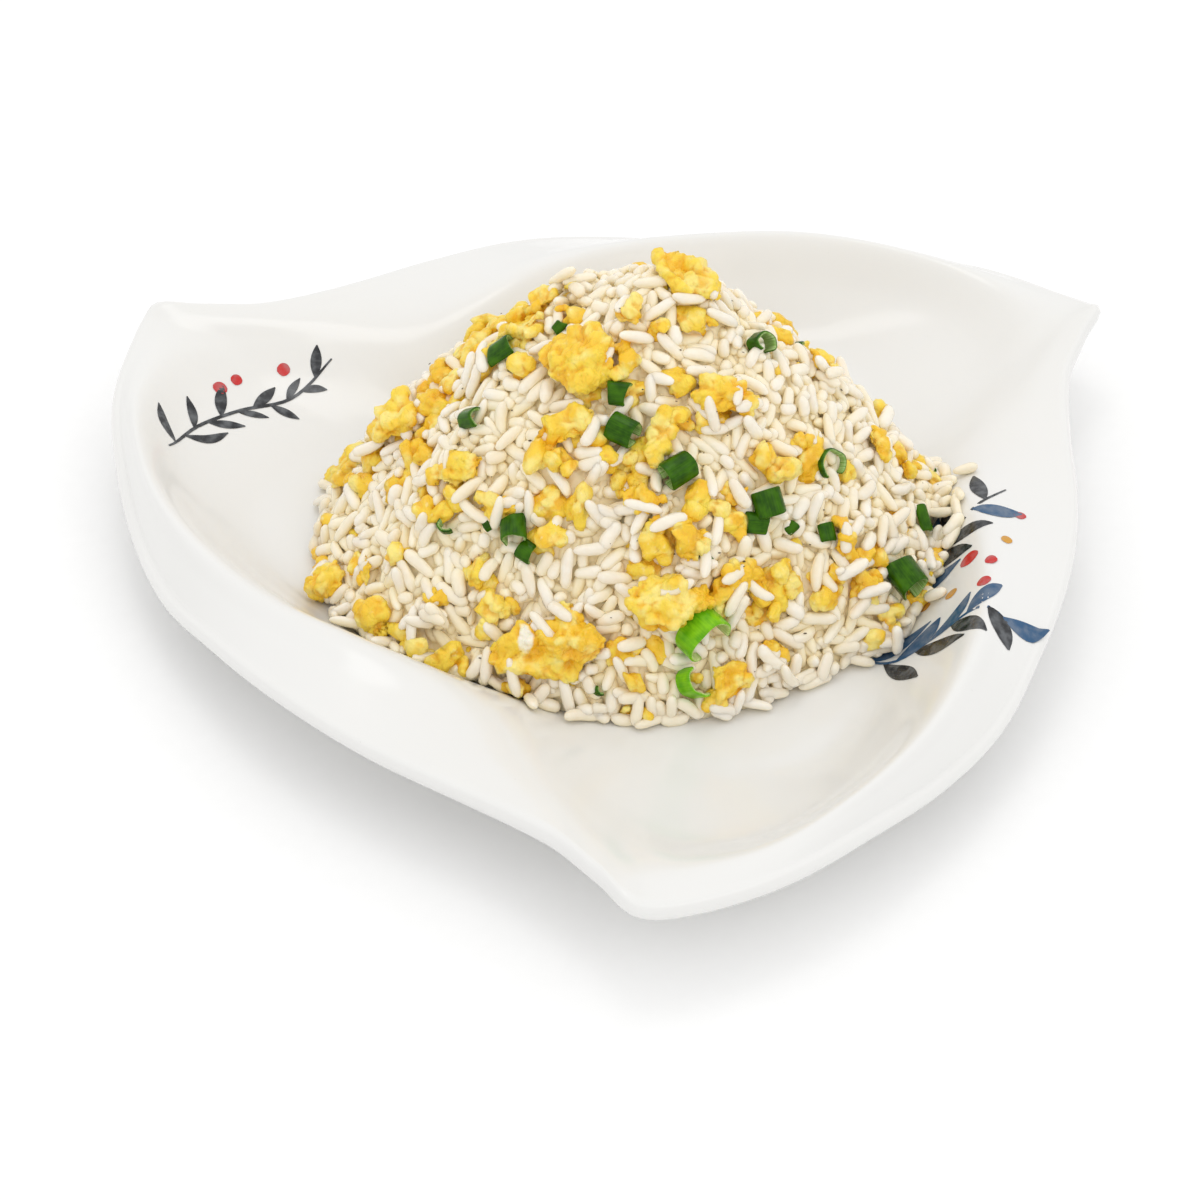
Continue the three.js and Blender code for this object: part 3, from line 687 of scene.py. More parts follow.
# %% [markdown]
# ## Scallion
#
# The scallion is cut across its hollow leaves, so a piece is a ring, a curl or a folded
# scrap: a thin band, shiny and dark outside, paler and matt inside, with veins along the
# leaf. A torus would be too fat and even. Each is a thin wall with rounded edges swept
# through part of a circle, squeezed, a little wavy and tilted, at its solid's place.

# %% List the scallion pieces
LEAF_SKIN = 0.8
LEAF_SQUEEZE = 0.82

# Where each piece shows in the photograph, or its direction in degrees and share of the
# way out where the heap hides it. Then radius and band in millimetres, sweep and turn in
# degrees, lean of the ring's axis out of the slope, and how pale it is.
SCALLIONS = [
    {"pixel": (509, 355), "radius": 3.0, "band": 6, "sweep": 170, "turn": 80, "lean": 80},
    {"pixel": (475, 421), "radius": 2.3, "band": 5.5, "sweep": 190, "turn": 70, "lean": 75},
    {"pixel": (517, 532), "radius": 2.8, "band": 5.5, "sweep": 230, "turn": 20, "lean": 60},
    {"pixel": (529, 552), "radius": 2.2, "band": 3.5, "sweep": 160, "turn": 60, "lean": 80},
    {"pixel": (618, 396), "radius": 2.6, "band": 4.5, "sweep": 170, "turn": 80, "lean": 75},
    {"pixel": (622, 431), "radius": 3.0, "band": 6, "sweep": 330, "turn": 60, "lean": 65},
    {"pixel": (678, 472), "radius": 3.1, "band": 6.5, "sweep": 345, "turn": -55, "lean": 75},
    {"pixel": (758, 349), "radius": 2.7, "band": 4, "sweep": 300, "turn": 20, "lean": 35},
    {"pixel": (826, 466), "radius": 3.8, "band": 1.6, "sweep": 290, "turn": 20, "lean": 12},
    {"pixel": (764, 503), "radius": 3.6, "band": 5.5, "sweep": 150, "turn": 15, "lean": 85},
    {"pixel": (753, 523), "radius": 2.4, "band": 5.5, "sweep": 130, "turn": 85, "lean": 85},
    {"pixel": (824, 534), "radius": 2.0, "band": 4, "sweep": 150, "turn": 10, "lean": 80},
    {"pixel": (919, 521), "radius": 2.0, "band": 5.5, "sweep": 190, "turn": 10, "lean": 80},
    {"pixel": (896, 577), "radius": 3.9, "band": 7.5, "sweep": 300, "turn": 15, "lean": 55},
    {"pixel": (699, 634), "radius": 5.4, "band": 5.5, "sweep": 265, "turn": 40, "lean": 40, "pale": 1},
    {"pixel": (692, 679), "radius": 3.6, "band": 4.5, "sweep": 190, "turn": 120, "lean": 35, "pale": 1},
    {"spot": (90, 0.72), "radius": 2.6, "band": 5.5, "sweep": 180, "turn": 75, "lean": 78},
    {"spot": (72, 0.93), "radius": 3.0, "band": 5, "sweep": 300, "turn": 30, "lean": 55},
    {"spot": (116, 0.93), "radius": 3.1, "band": 4.5, "sweep": 250, "turn": -40, "lean": 60},
]


# %% Shape one band of leaf
def leaf_place(leaf):
    if "pixel" in leaf:
        at = line_of_sight(leaf["pixel"])
    else:
        x, y = heap_place(np.radians(leaf["spot"][0]), leaf["spot"][1])
        at = np.array([x, y, core_height(np.array([x]), np.array([y]))[0]])
    axes = slope_frame(at)
    rise = 0.35 * leaf["radius"] + 0.25 * leaf["band"] * math.cos(math.radians(leaf["lean"]))
    at = at + rise * axes[:, 2]
    lowest = glaze_height(at[0:1], at[1:2])[0] + math.hypot(leaf["radius"], leaf["band"] / 2) + 0.6
    at[2] = max(at[2], lowest)
    return at, axes


def wall_outline(band, skin):
    """Round the wall's section, as [depth below the outer face, place along the band]."""
    edge = skin / 2
    bend = np.linspace(0, math.pi, 5)
    top = np.stack([edge - edge * np.cos(bend), band / 2 - edge + edge * np.sin(bend)], -1)
    inner = np.stack([np.full(6, skin), np.linspace(band / 2 - edge, edge - band / 2, 8)[1:-1]], -1)
    bottom = np.stack([edge + edge * np.cos(bend), edge - band / 2 - edge * np.sin(bend)], -1)
    outer = np.stack([np.zeros(6), np.linspace(edge - band / 2, band / 2 - edge, 8)[1:-1]], -1)
    return np.concatenate([top, inner, bottom, outer])


def leaf_mesh(leaf, seed):
    """Points, faces and [way round, way along, inside] of one piece."""
    random = np.random.default_rng(seed)
    outline = wall_outline(leaf["band"], LEAF_SKIN)
    steps = max(8, int(leaf["sweep"] / 9))
    turn = np.radians(np.linspace(-leaf["sweep"] / 2, leaf["sweep"] / 2, steps + 1) + 90)
    wave = 0.05 * np.sin(3 * turn + random.uniform(0, 6))
    wave += 0.03 * np.sin(5 * turn + random.uniform(0, 6))
    radius = (leaf["radius"] * (1 + wave))[:, None] - outline[:, 0]
    cut = random.uniform(-0.25, 0.25) * np.cos(turn + random.uniform(0, 6))[:, None]
    flare = 1 + 0.05 * outline[:, 1] / leaf["band"] * random.uniform(-1, 1)
    radius = radius * flare
    along = outline[:, 1] * (1 + cut)
    points = np.stack([radius * np.cos(turn)[:, None], LEAF_SQUEEZE * radius * np.sin(turn)[:, None],
                       along], -1)
    count = len(outline)
    faces = []
    for i in range(steps):
        for j in range(count):
            k = (j + 1) % count
            faces.append((i * count + j, i * count + k, (i + 1) * count + k, (i + 1) * count + j))
    faces.append(tuple(range(count - 1, -1, -1)))
    faces.append(tuple(steps * count + j for j in range(count)))
    inside = np.broadcast_to(np.clip(outline[:, 0] / LEAF_SKIN, 0, 1), radius.shape)
    around = np.broadcast_to((leaf["radius"] * turn)[:, None], radius.shape)
    place = np.stack([around + 7.0 * seed, along, inside], -1)
    at, axes = leaf_place(leaf)
    lean, turned = math.radians(leaf["lean"]), math.radians(leaf["turn"])
    tip = np.array([[1, 0, 0], [0, math.cos(lean), -math.sin(lean)],
                    [0, math.sin(lean), math.cos(lean)]])
    spin = np.array([[math.cos(turned), -math.sin(turned), 0],
                     [math.sin(turned), math.cos(turned), 0], [0, 0, 1]])
    placed = points.reshape(-1, 3) @ (axes @ spin @ tip).T + at
    return placed, faces, place.reshape(-1, 3)


# %% Make the two scallion finishes
def leaf_finish(name, dark, bright, inner_dark, inner_bright):
    """Veins run along the leaf: fine stripes round it, drawn out the other way."""
    leaf = Finish(name, Subsurface_Weight=0.1, Subsurface_Radius=(0.4, 0.8, 0.2),
                  Subsurface_Scale=0.0006, Specular_IOR_Level=0.14)
    read = leaf.vector("leaf_place")
    inside = leaf.attribute("leaf_place")[2]
    veins = leaf.clouds(leaf.scaled(read, (2.6, 0.12, 0.0)), 1.0, 3, 0.6)
    patches = leaf.clouds(leaf.scaled(read, (0.35, 0.3, 0.0)), 1.0, 2)
    skin = leaf.mix(leaf.step(0.35 * veins + 0.65 * patches, 0.32, 0.68), dark, bright)
    flesh = leaf.mix(leaf.step(veins, 0.35, 0.65), inner_dark, inner_bright)
    leaf.feed(
        Base_Color=leaf.mix(leaf.step(inside, 0.25, 0.75), skin, flesh),
        Roughness=0.10 + 0.3 * leaf.step(inside, 0.3, 0.7) + 0.12 * patches,
        Normal=leaf.bump(veins, 0.0001, 0.5),
    )
    return leaf.material


dark_leaf = leaf_finish("scallion_green", (0.013, 0.058, 0.001), (0.050, 0.155, 0.002),
                        (0.16, 0.32, 0.05), (0.40, 0.52, 0.22))
pale_leaf = leaf_finish("scallion_pale", (0.09, 0.34, 0.004), (0.24, 0.56, 0.012),
                        (0.36, 0.52, 0.12), (0.60, 0.68, 0.30))

# %% Build the scallion
for pale, name, slot_name, finish in [(0, "scallion_pieces", "leaf", dark_leaf),
                                      (1, "pale_scallion_pieces", "pale_leaf", pale_leaf)]:
    chosen = [k for k, leaf in enumerate(SCALLIONS) if leaf.get("pale", 0) == pale]
    points, faces, place = join([leaf_mesh(SCALLIONS[k], k) for k in chosen])
    leaves = mesh_object(name, points, faces)
    give_attribute(leaves, "leaf_place", place)
    dress(leaves, slot_name, finish, *[scallion_nodes[k] for k in chosen])

# %% Scatter small scraps of leaf
SCRAP_SPOTS = [(448, 528), (490, 525), (790, 528), (560, 330), (705, 560), (600, 690)]
SCRAPS_BEHIND = 12
FIRST_SCRAP_SEED = 40

scrap_random = np.random.default_rng(3)
scraps = [{"pixel": spot} for spot in SCRAP_SPOTS]
scraps += [{"spot": (scrap_random.uniform(10, 170), math.sqrt(scrap_random.uniform(0.1, 0.95)))}
           for _ in range(SCRAPS_BEHIND)]
for scrap in scraps:
    scrap.update(radius=scrap_random.uniform(1.2, 1.9), band=scrap_random.uniform(1.6, 3.2),
                 sweep=scrap_random.uniform(120, 300), turn=scrap_random.uniform(0, 180),
                 lean=scrap_random.uniform(20, 85))
points, faces, place = join([leaf_mesh(scrap, FIRST_SCRAP_SEED + k)
                             for k, scrap in enumerate(scraps)])
scrap_leaves = mesh_object("scallion_scraps", points, faces)
give_attribute(scrap_leaves, "leaf_place", place)
dress(scrap_leaves, "leaf", dark_leaf)

# %% [markdown]
# ## Scrambled egg
#
# Each curd is a soft, torn lump of set egg, folded over itself, bright yellow with paler
# and deeper patches. Smooth blobs look like plastic. The curds start from the frame's own
# solids, are remeshed finely and relaxed, and then layered noise pushes folds, pits and
# ragged edges into them, so each keeps its place and size.

# %% Remesh the curds
EGG_VOXEL = 0.45 * MM


def gather(names):
    """The points and faces of several solids of the frame, about the plate's axis."""
    parts = []
    for name in names:
        points = solid_points(name) - AXIS
        parts.append((points, [tuple(p.vertices) for p in nodes[name].data.polygons], points))
    return join(parts)[:2]


def applied(obj, name):
    """A new object with obj's modifiers applied. obj itself goes."""
    graph = bpy.context.evaluated_depsgraph_get()
    mesh = bpy.data.meshes.new_from_object(obj.evaluated_get(graph))
    bpy.data.objects.remove(obj)
    mesh.name = name
    made = bpy.data.objects.new(name, mesh)
    bpy.context.scene.collection.objects.link(made)
    return made


rough_curds = mesh_object("gathered", *gather(egg_nodes))
weld = rough_curds.modifiers.new("weld", "WELD")
weld.merge_threshold = 0.00001
remesh = rough_curds.modifiers.new("remesh", "REMESH")
remesh.mode = "VOXEL"
remesh.voxel_size = EGG_VOXEL
relax = rough_curds.modifiers.new("relax", "SMOOTH")
relax.iterations = 5
curds = applied(rough_curds, "egg_curds")
print("curds:", len(curds.data.vertices), "points")

# %% Push lobes and creases into the curds
LOBE_SIZE = 3.4
CURD_SIZE = 1.5
LOBE_HEIGHT = 1.05
CURD_HEIGHT = 0.65
FOLD_HEIGHT = 1.4
WHITE_SPOT = (525, 640, 9, 16)


def in_white_spot(p):
    """Above 0 where a point shows in the patch of set white in the photograph."""
    away = np.array(p) - AXIS - EYE
    scale = FOCAL_PIXELS / -(away @ BACK)
    x = PHOTO_WIDTH / 2 + scale * (away @ RIGHT) - WHITE_SPOT[0]
    y = PHOTO_WIDTH / 2 - scale * (away @ UP) - WHITE_SPOT[1]
    return 1 - math.hypot(x / WHITE_SPOT[2], y / WHITE_SPOT[3])


def roundness(p, size):
    """1 at the middle of a rounded cell, and less towards the crease round it."""
    return 1 - 2 * noise.voronoi(p / size)[0][0] ** 2


def egg_form(p):
    """[lobes, small curds, folds] at a place in millimetres."""
    bent = p + 1.5 * noise.noise_vector(p * 0.22)
    lobes = roundness(Vector((bent.x, 0.7 * bent.y, bent.z)), LOBE_SIZE)
    small = roundness(bent + Vector((4, 9, 2)), CURD_SIZE)
    fold = 1 - 2 * abs(noise.noise(p * 0.16 + Vector((3, 1, 8))))
    return lobes, small, fold


def roughen(mesh):
    """Moves the points of a mesh in or out, and returns [lobes, small curds, white]."""
    kept = []
    normals = [v.normal.copy() for v in mesh.vertices]
    for vertex, normal in zip(mesh.vertices, normals):
        p = vertex.co / MM
        lobes, small, fold = egg_form(p)
        out = LOBE_HEIGHT * (lobes - 0.35) + CURD_HEIGHT * (small - 0.4) + FOLD_HEIGHT * (fold - 0.4)
        vertex.co = vertex.co + normal * out * MM
        vertex.co.z = min(vertex.co.z, start_bounds[1][2])
        kept.append((lobes, small, in_white_spot(p)))
    return kept


# The lobes and small curds kept here also set the egg's painted crease shade.
give_attribute(curds, "curd_form", roughen(curds.data))
curds.data.polygons.foreach_set("use_smooth", [True] * len(curds.data.polygons))

# %% Make the egg finish
egg = Finish("egg", Subsurface_Weight=0.15, Subsurface_Radius=(1.0, 0.6, 0.2),
             Subsurface_Scale=0.0008, Specular_IOR_Level=0.4)
where = egg.place()
lobes, small, white = egg.attribute("curd_form")
wide_patches = egg.clouds(where, 95, 3, 0.55, 0.4)
fine_patches = egg.clouds(where, 620, 3)
golden = egg.mix(egg.step(wide_patches, 0.38, 0.62), (0.91, 0.56, 0.028), (0.94, 0.69, 0.070))
pale = egg.mix(egg.step(egg.clouds(where, 190, 2), 0.47, 0.66), golden, (0.96, 0.79, 0.23))
# Painted shade: the creases between lobes and small curds are coloured deep orange, as if in shadow.
crease_painted_shade = egg.mix(egg.step(0.6 * lobes + 0.4 * small, 0.45, 0.0) * 0.75, pale, (0.89, 0.47, 0.014))
set_white = egg.mix(egg.step(white + 0.6 * fine_patches, 0.35, 0.65), crease_painted_shade, (0.95, 0.90, 0.74))
egg.feed(
    Base_Color=egg.mix(egg.step(fine_patches, 0.62, 0.80) * 0.4, set_white, (0.97, 0.84, 0.36)),
    Roughness=0.24 + 0.2 * fine_patches,
    Normal=egg.bump(0.7 * egg.clouds(where, 420, 3, 0.55, 1.2) + 0.3 * fine_patches, 0.0011, 0.9),
)
dress(curds, "egg", egg.material, *egg_nodes)

# %% [markdown]
# ## Rice
#
# The heap is some four thousand cooked grains, each lying on those below it at its own
# angle. Scattering copies on a surface makes them pass through one another, and a rigid
# body run of that many is slow and never comes out the same. So the grains are dropped
# one by one onto a map of the heap's relief: each lies along the relief under it, rests
# on its higher points, and raises the map where it lies.

# %% Name the rice's sizes
GRAIN_LENGTH = 8.3
GRAIN_WIDTH = 2.65
DIG = 5.0
TILT_LIMIT = 0.7
TILT_SPREAD = 0.16
REST_SHARE = 0.72
GLAZE_SHARE = 0.45
GAIN_LIMIT = 8.0
TALLEST = 1.6
TALLEST_EGG = 4.5
FIRST_TRIES = 2700
LAST_TRIES = 1700
OVER_TRIES = 110

random = np.random.default_rng(20)
relief = -np.minimum(DIG, (core_grid - glaze_grid) * normal_grid[..., 2])
start_relief = relief.copy()


# %% Find out what lies near the toppings
def surface_of(names):
    """A search tree over the faces of some solids of the frame."""
    points, faces = gather(names)
    return BVHTree.FromPolygons([Vector(p) for p in points], faces)


egg_surface = surface_of(egg_nodes)
leaf_surface = surface_of(scallion_nodes)
EGG_OVERLAP = 0.8
LEAF_CLEARANCE = 1.1


def in_topping(point, beside_egg=True):
    """True if a point is well inside an egg, or close to a leaf."""
    point = Vector(point)
    if leaf_surface.find_nearest(point, LEAF_CLEARANCE)[0] is not None:
        return True
    if not beside_egg or egg_surface.find_nearest(point, EGG_OVERLAP)[0] is not None:
        return False
    normal = egg_surface.ray_cast(point, Vector((0, 0, 1)))[1]
    return normal is not None and normal.z > 0


# %% Drop one piece onto the relief
STATIONS = np.linspace(-0.45, 0.45, 7)
TEST_SHARES = (-0.42, 0, 0.42)


def ground_at(x, y):
    """The points of the relief over places of the core."""
    base = np.stack([x, y, read_grid(core_grid, x, y)], -1)
    return base + read_grid(relief, x, y)[:, None] * read_grid(normal_grid, x, y)


def rest(x, y, length, width, heading, sink):
    """Lays a piece on the relief. Returns its middle, direction, side, way out and rise."""
    at = on_core(x, y)
    axes = slope_frame(at)
    along = math.cos(heading) * axes[:, 0] + math.sin(heading) * axes[:, 1]
    out = axes[:, 2]
    s = STATIONS * length
    spots = at + s[:, None] * along
    height = (ground_at(spots[:, 0], spots[:, 1]) - at) @ out
    tilt = (s * (height - height.mean())).sum() / (s * s).sum() + random.normal(0, TILT_SPREAD)
    tilt = max(-TILT_LIMIT, min(TILT_LIMIT, tilt))
    rise = np.quantile(height - tilt * s, REST_SHARE) + width / 2 * (1 - sink)
    direction = along + tilt * out
    direction /= np.linalg.norm(direction)
    side = np.cross(out, direction)
    side /= np.linalg.norm(side)
    centre = at + rise * out
    line = centre + s[:, None] * direction
    low = glaze_height(line[:, 0], line[:, 1]) + GLAZE_SHARE * width - line[:, 2]
    centre[2] += max(0, low.max())
    return centre, direction, side, out, rise


def raise_relief(centre, direction, side, out, length, width):
    """The map now has the top of this piece, where it is higher than what was there."""
    reach = length / 2 + width
    i0, j0 = ((centre[:2] - reach + GRID_REACH) / CELL).astype(int)
    i1, j1 = ((centre[:2] + reach + GRID_REACH) / CELL).astype(int)
    patch = (slice(i0, i1), slice(j0, j1))
    ground = np.stack([grid_x[patch], grid_y[patch], core_grid[patch]], -1)
    ground += relief[patch][..., None] * normal_grid[patch]
    away = ground - centre
    climb = direction @ out
    flat = direction - climb * out
    along = away @ flat / (flat @ flat)
    across = away @ side
    room = 1 - (np.abs(along) / (length / 2)) ** 4
    half = width / 2 * np.sqrt(np.maximum(room, 0))
    top = np.sqrt(np.maximum(half ** 2 - across ** 2, 0)) + climb * along
    gain = top - away @ out
    covered = (room > 0) & (np.abs(across) < half) & (gain > 0) & (gain < GAIN_LIMIT)
    relief[patch] = np.where(covered, relief[patch] + gain, relief[patch])


pieces = []


def lay(kind, x, y, length, width, sink, beside_egg=True, tallest=TALLEST):
    """Lays a piece and keeps it, unless it would stick out or lie in a topping."""
    heading = random.uniform(0, math.pi)
    centre, direction, side, out, rise = rest(x, y, length, width, heading, sink)
    top = centre[2] + abs(direction[2]) * length / 2 + width / 2
    if rise > tallest or top > start_bounds[1][2] / MM:
        return
    for share in TEST_SHARES:
        if in_topping(centre + share * length * direction, beside_egg):
            return
    raise_relief(centre, direction, side, out, length, width)
    pieces.append({"kind": kind, "centre": centre, "along": direction, "side": side,
                   "length": length, "width": width})


# %% Heap the rice
EDGE_LEVEL = 2.6
EDGE_SHARES = (0.84, 1.0)
PICKS = 10
OUTERMOST = 1.03
STEEP_HELP = 1.2
LEVEL_NOISE = 0.6
CRUMB_SHARE = 0.035
BROKEN_SHARE = 0.28
CRUMB_WIDTHS = (1.4, 2.8)
KINDS = ["straight", "bent", "plump"]
PLUMPNESS = 1.1


def any_kind():
    return KINDS[random.integers(len(KINDS))]


def lay_grain(kind, x, y, lengths, widths, sink, plump=1.0, **options):
    """Lays a grain. Its length and width are drawn as shares of a whole grain's."""
    length = GRAIN_LENGTH * random.uniform(*lengths) / plump
    lay(kind, x, y, length, GRAIN_WIDTH * random.uniform(*widths) * plump, sink, **options)


def lay_egg(kind, x, y, widths, longest, sink, **options):
    """Lays a bit of egg, up to longest times as long as it is wide."""
    wide = random.uniform(*widths)
    lay(kind, x, y, wide * random.uniform(1.0, longest), wide, sink, **options)


def low_place():
    """Of a few random places, the one that lies lowest, so that the heap fills evenly."""
    angle = random.uniform(0, 2 * math.pi, PICKS)
    fraction = np.sqrt(random.uniform(0, OUTERMOST, PICKS))
    x, y = heap_place(angle, fraction)
    edge = np.clip((fraction - EDGE_SHARES[0]) / (EDGE_SHARES[1] - EDGE_SHARES[0]), 0, 1)
    steep = 1 / read_grid(normal_grid, x, y)[:, 2]
    level = read_grid(relief, x, y) - EDGE_LEVEL * edge - STEEP_HELP * steep
    level += random.normal(0, LEVEL_NOISE, PICKS)
    pick = int(np.argmin(level))
    return x[pick], y[pick]


def heap_more(tries):
    """Lays grains, broken grains and small crumbs of egg in the heap's hollows."""
    for _ in range(tries):
        x, y = low_place()
        draw = random.uniform()
        sink = random.uniform(0.5, 1.0)
        if draw < CRUMB_SHARE:
            lay_egg("crumb", x, y, CRUMB_WIDTHS, 1.5, 0.5)
        elif draw < CRUMB_SHARE + BROKEN_SHARE:
            lay_grain("broken", x, y, (0.3, 0.66), (0.92, 1.1), sink)
        else:
            kind = any_kind()
            plump = PLUMPNESS if kind == "plump" else 1.0
            lay_grain(kind, x, y, (0.66, 1.08), (0.88, 1.08), sink, plump)


heap_more(FIRST_TRIES)

# %% [markdown]
# ## Torn bits of egg
#
# Round the large curds lie many torn bits, a few millimetres across, that make most of
# the heap's yellow. Spread evenly they would look like confetti. They lie in groups, as
# in the photograph, on the grains laid so far and partly under the last ones.

# %% Lay the torn bits of egg
# Where a group shows in the photograph, half its width and height in pixels, and how
# many bits it has.
EGG_GROUPS = [
    (440, 495, 20, 20, 9), (408, 448, 32, 12, 8), (432, 420, 10, 18, 4), (621, 468, 22, 20, 9),
    (666, 548, 25, 26, 14), (690, 508, 14, 14, 4), (852, 575, 28, 24, 13), (770, 575, 24, 18, 6),
    (728, 606, 28, 14, 7), (925, 580, 15, 22, 7), (697, 683, 24, 14, 9), (610, 384, 28, 12, 7),
    (628, 358, 9, 20, 3), (562, 462, 18, 11, 5), (708, 418, 34, 8, 6), (480, 570, 11, 14, 3),
    (500, 618, 20, 12, 6), (345, 582, 34, 16, 9), (573, 306, 8, 14, 3), (520, 335, 30, 8, 6),
    (470, 358, 22, 10, 5), (442, 382, 12, 18, 4), (365, 490, 12, 12, 4), (402, 496, 10, 10, 3),
    (498, 512, 22, 7, 4), (728, 497, 14, 14, 4), (765, 463, 18, 12, 4), (808, 448, 13, 12, 4),
    (852, 466, 13, 8, 3), (812, 366, 12, 8, 3), (395, 640, 18, 12, 6), (432, 656, 16, 8, 4),
    (458, 666, 14, 6, 3), (548, 545, 12, 8, 3), (405, 552, 10, 8, 3), (384, 614, 11, 11, 4),
    (815, 590, 10, 10, 3), (776, 610, 11, 11, 3), (648, 328, 12, 12, 3), (702, 330, 12, 12, 3),
    (518, 372, 11, 9, 3), (680, 376, 9, 9, 2), (576, 512, 6, 8, 1), (568, 528, 8, 5, 1),
    (545, 505, 6, 6, 1), (900, 516, 8, 6, 1), (736, 520, 8, 8, 2), (640, 652, 24, 10, 5),
    (645, 678, 10, 10, 2), (505, 694, 14, 5, 2), (860, 641, 7, 6, 1), (450, 378, 8, 10, 2),
    (481, 567, 8, 8, 2), (435, 396, 6, 6, 1), (879, 408, 6, 6, 1), (590, 440, 10, 10, 2),
]
BACK_GROUPS = 30
BACK_ANGLES = (5, 175)
BACK_SPREAD = 3.2
BIT_WIDTHS = (2.7, 5.5)
TALLEST_BIT = 2.5


def lay_bit(x, y):
    lay_egg("bit", x, y, BIT_WIDTHS, 1.6, 0.4, tallest=TALLEST_BIT)


for x, y, half_width, half_height, count in EGG_GROUPS:
    for _ in range(count):
        away = random.uniform(-1, 1, 2) * [half_width, half_height]
        at = line_of_sight((x + away[0], y + away[1]))
        if at is not None:
            lay_bit(at[0], at[1])
for _ in range(BACK_GROUPS):
    angle, share = random.uniform(*BACK_ANGLES), math.sqrt(random.uniform(0.1, 0.98))
    for _ in range(random.integers(3, 11)):
        x, y = heap_place(np.radians(angle), share)
        lay_bit(x + random.normal(0, BACK_SPREAD), y + random.normal(0, BACK_SPREAD))
heap_more(LAST_TRIES)

# %% Loosen the heap's foot
FOOT_TRIES = 260
FOOT_SPREAD = 0.022
FOOT_BROKEN_SHARE = 0.3
for _ in range(FOOT_TRIES):
    x, y = heap_place(random.uniform(0, 2 * math.pi), random.normal(1.0, FOOT_SPREAD))
    kind = "broken" if random.uniform() < FOOT_BROKEN_SHARE else any_kind()
    lay_grain(kind, x, y, (0.55, 1.05), (0.88, 1.05), 0.1)

# %% Fill the hollows that are left
HOLLOW_DEPTH = 0.9
HOLLOW_TRIES = 1300
HOLLOW_BROKEN_SHARE = 0.4
TALLEST_IN_HOLLOW = 0.7
BLUR_CELLS = 9


def blurred(grid, cells):
    """The mean of a grid over squares of cells, twice over."""
    for axis in (0, 1, 0, 1):
        total = np.cumsum(grid, axis=axis)
        grid = (np.roll(total, -(cells // 2), axis) - np.roll(total, cells // 2 + 1, axis)) / cells
    return grid


in_heap = fraction_grid < 0.97
hollow_cells = np.argwhere(in_heap & (relief < blurred(relief, BLUR_CELLS) - HOLLOW_DEPTH))
print("hollow share before:", round(len(hollow_cells) / in_heap.sum(), 3))
for _ in range(HOLLOW_TRIES):
    i, j = hollow_cells[random.integers(len(hollow_cells))]
    short = random.uniform() < HOLLOW_BROKEN_SHARE
    lay_grain("broken" if short else any_kind(), grid_x[i, j], grid_y[i, j],
              (0.36, 0.6) if short else (0.65, 1.0), (0.88, 1.05), 0.7,
              tallest=TALLEST_IN_HOLLOW)

mean_relief = blurred(relief, BLUR_CELLS)

# %% Lay a few grains over the edges of the curds
PROBE_LENGTH = 14
OVER_SPREAD = 1.2
level_count = len(pieces)
for i, j in np.argwhere(fraction_grid < 1.02)[::2]:
    base = Vector((grid_x[i, j], grid_y[i, j], core_grid[i, j]))
    out = Vector(normal_grid[i, j])
    hit = egg_surface.ray_cast(base + PROBE_LENGTH * out, -out, PROBE_LENGTH)[0]
    if hit is not None and (hit - base).dot(out) < TALLEST_EGG:
        relief[i, j] = max(relief[i, j], (hit - base).dot(out))
curd_points = [solid_points(name) - AXIS for name in egg_nodes]
for _ in range(OVER_TRIES):
    curd = curd_points[random.integers(len(curd_points))]
    x, y = curd[random.integers(len(curd))][:2] + random.normal(0, OVER_SPREAD, 2)
    lay_grain(any_kind(), x, y, (0.75, 1.05), (0.9, 1.05), 0.6,
              beside_egg=False, tallest=TALLEST_EGG)
inner = relief[fraction_grid < 0.9]
print("laid", len(pieces), "pieces,", len(pieces) - level_count, "over curds; relief from",
      inner.min().round(1), "to", inner.max().round(1), "mean", inner.mean().round(2))


# %% [markdown]
# ## The form of a grain
#
# A cooked grain is plump and a little flattened, with blunt ends, a shallow groove along
# its side and often a slight bend. Some are broken across. One lathe shape for all would
# show as copies, so every grain gets its own length, bend, groove and taper from the same
# few formulas, worked out for all the grains of a kind at once.

# %% Shape the grains of one kind
RINGS = 8
SIDES = 9


# The rice's painted gap shade is drawn from this depth.
def crevice(points):
    """How far points lie under the heap's mean surface, in millimetres."""
    x, y, z = points.T
    rise = (z - read_grid(core_grid, x, y)) * read_grid(normal_grid, x, y)[:, 2]
    return read_grid(mean_relief, x, y) - rise


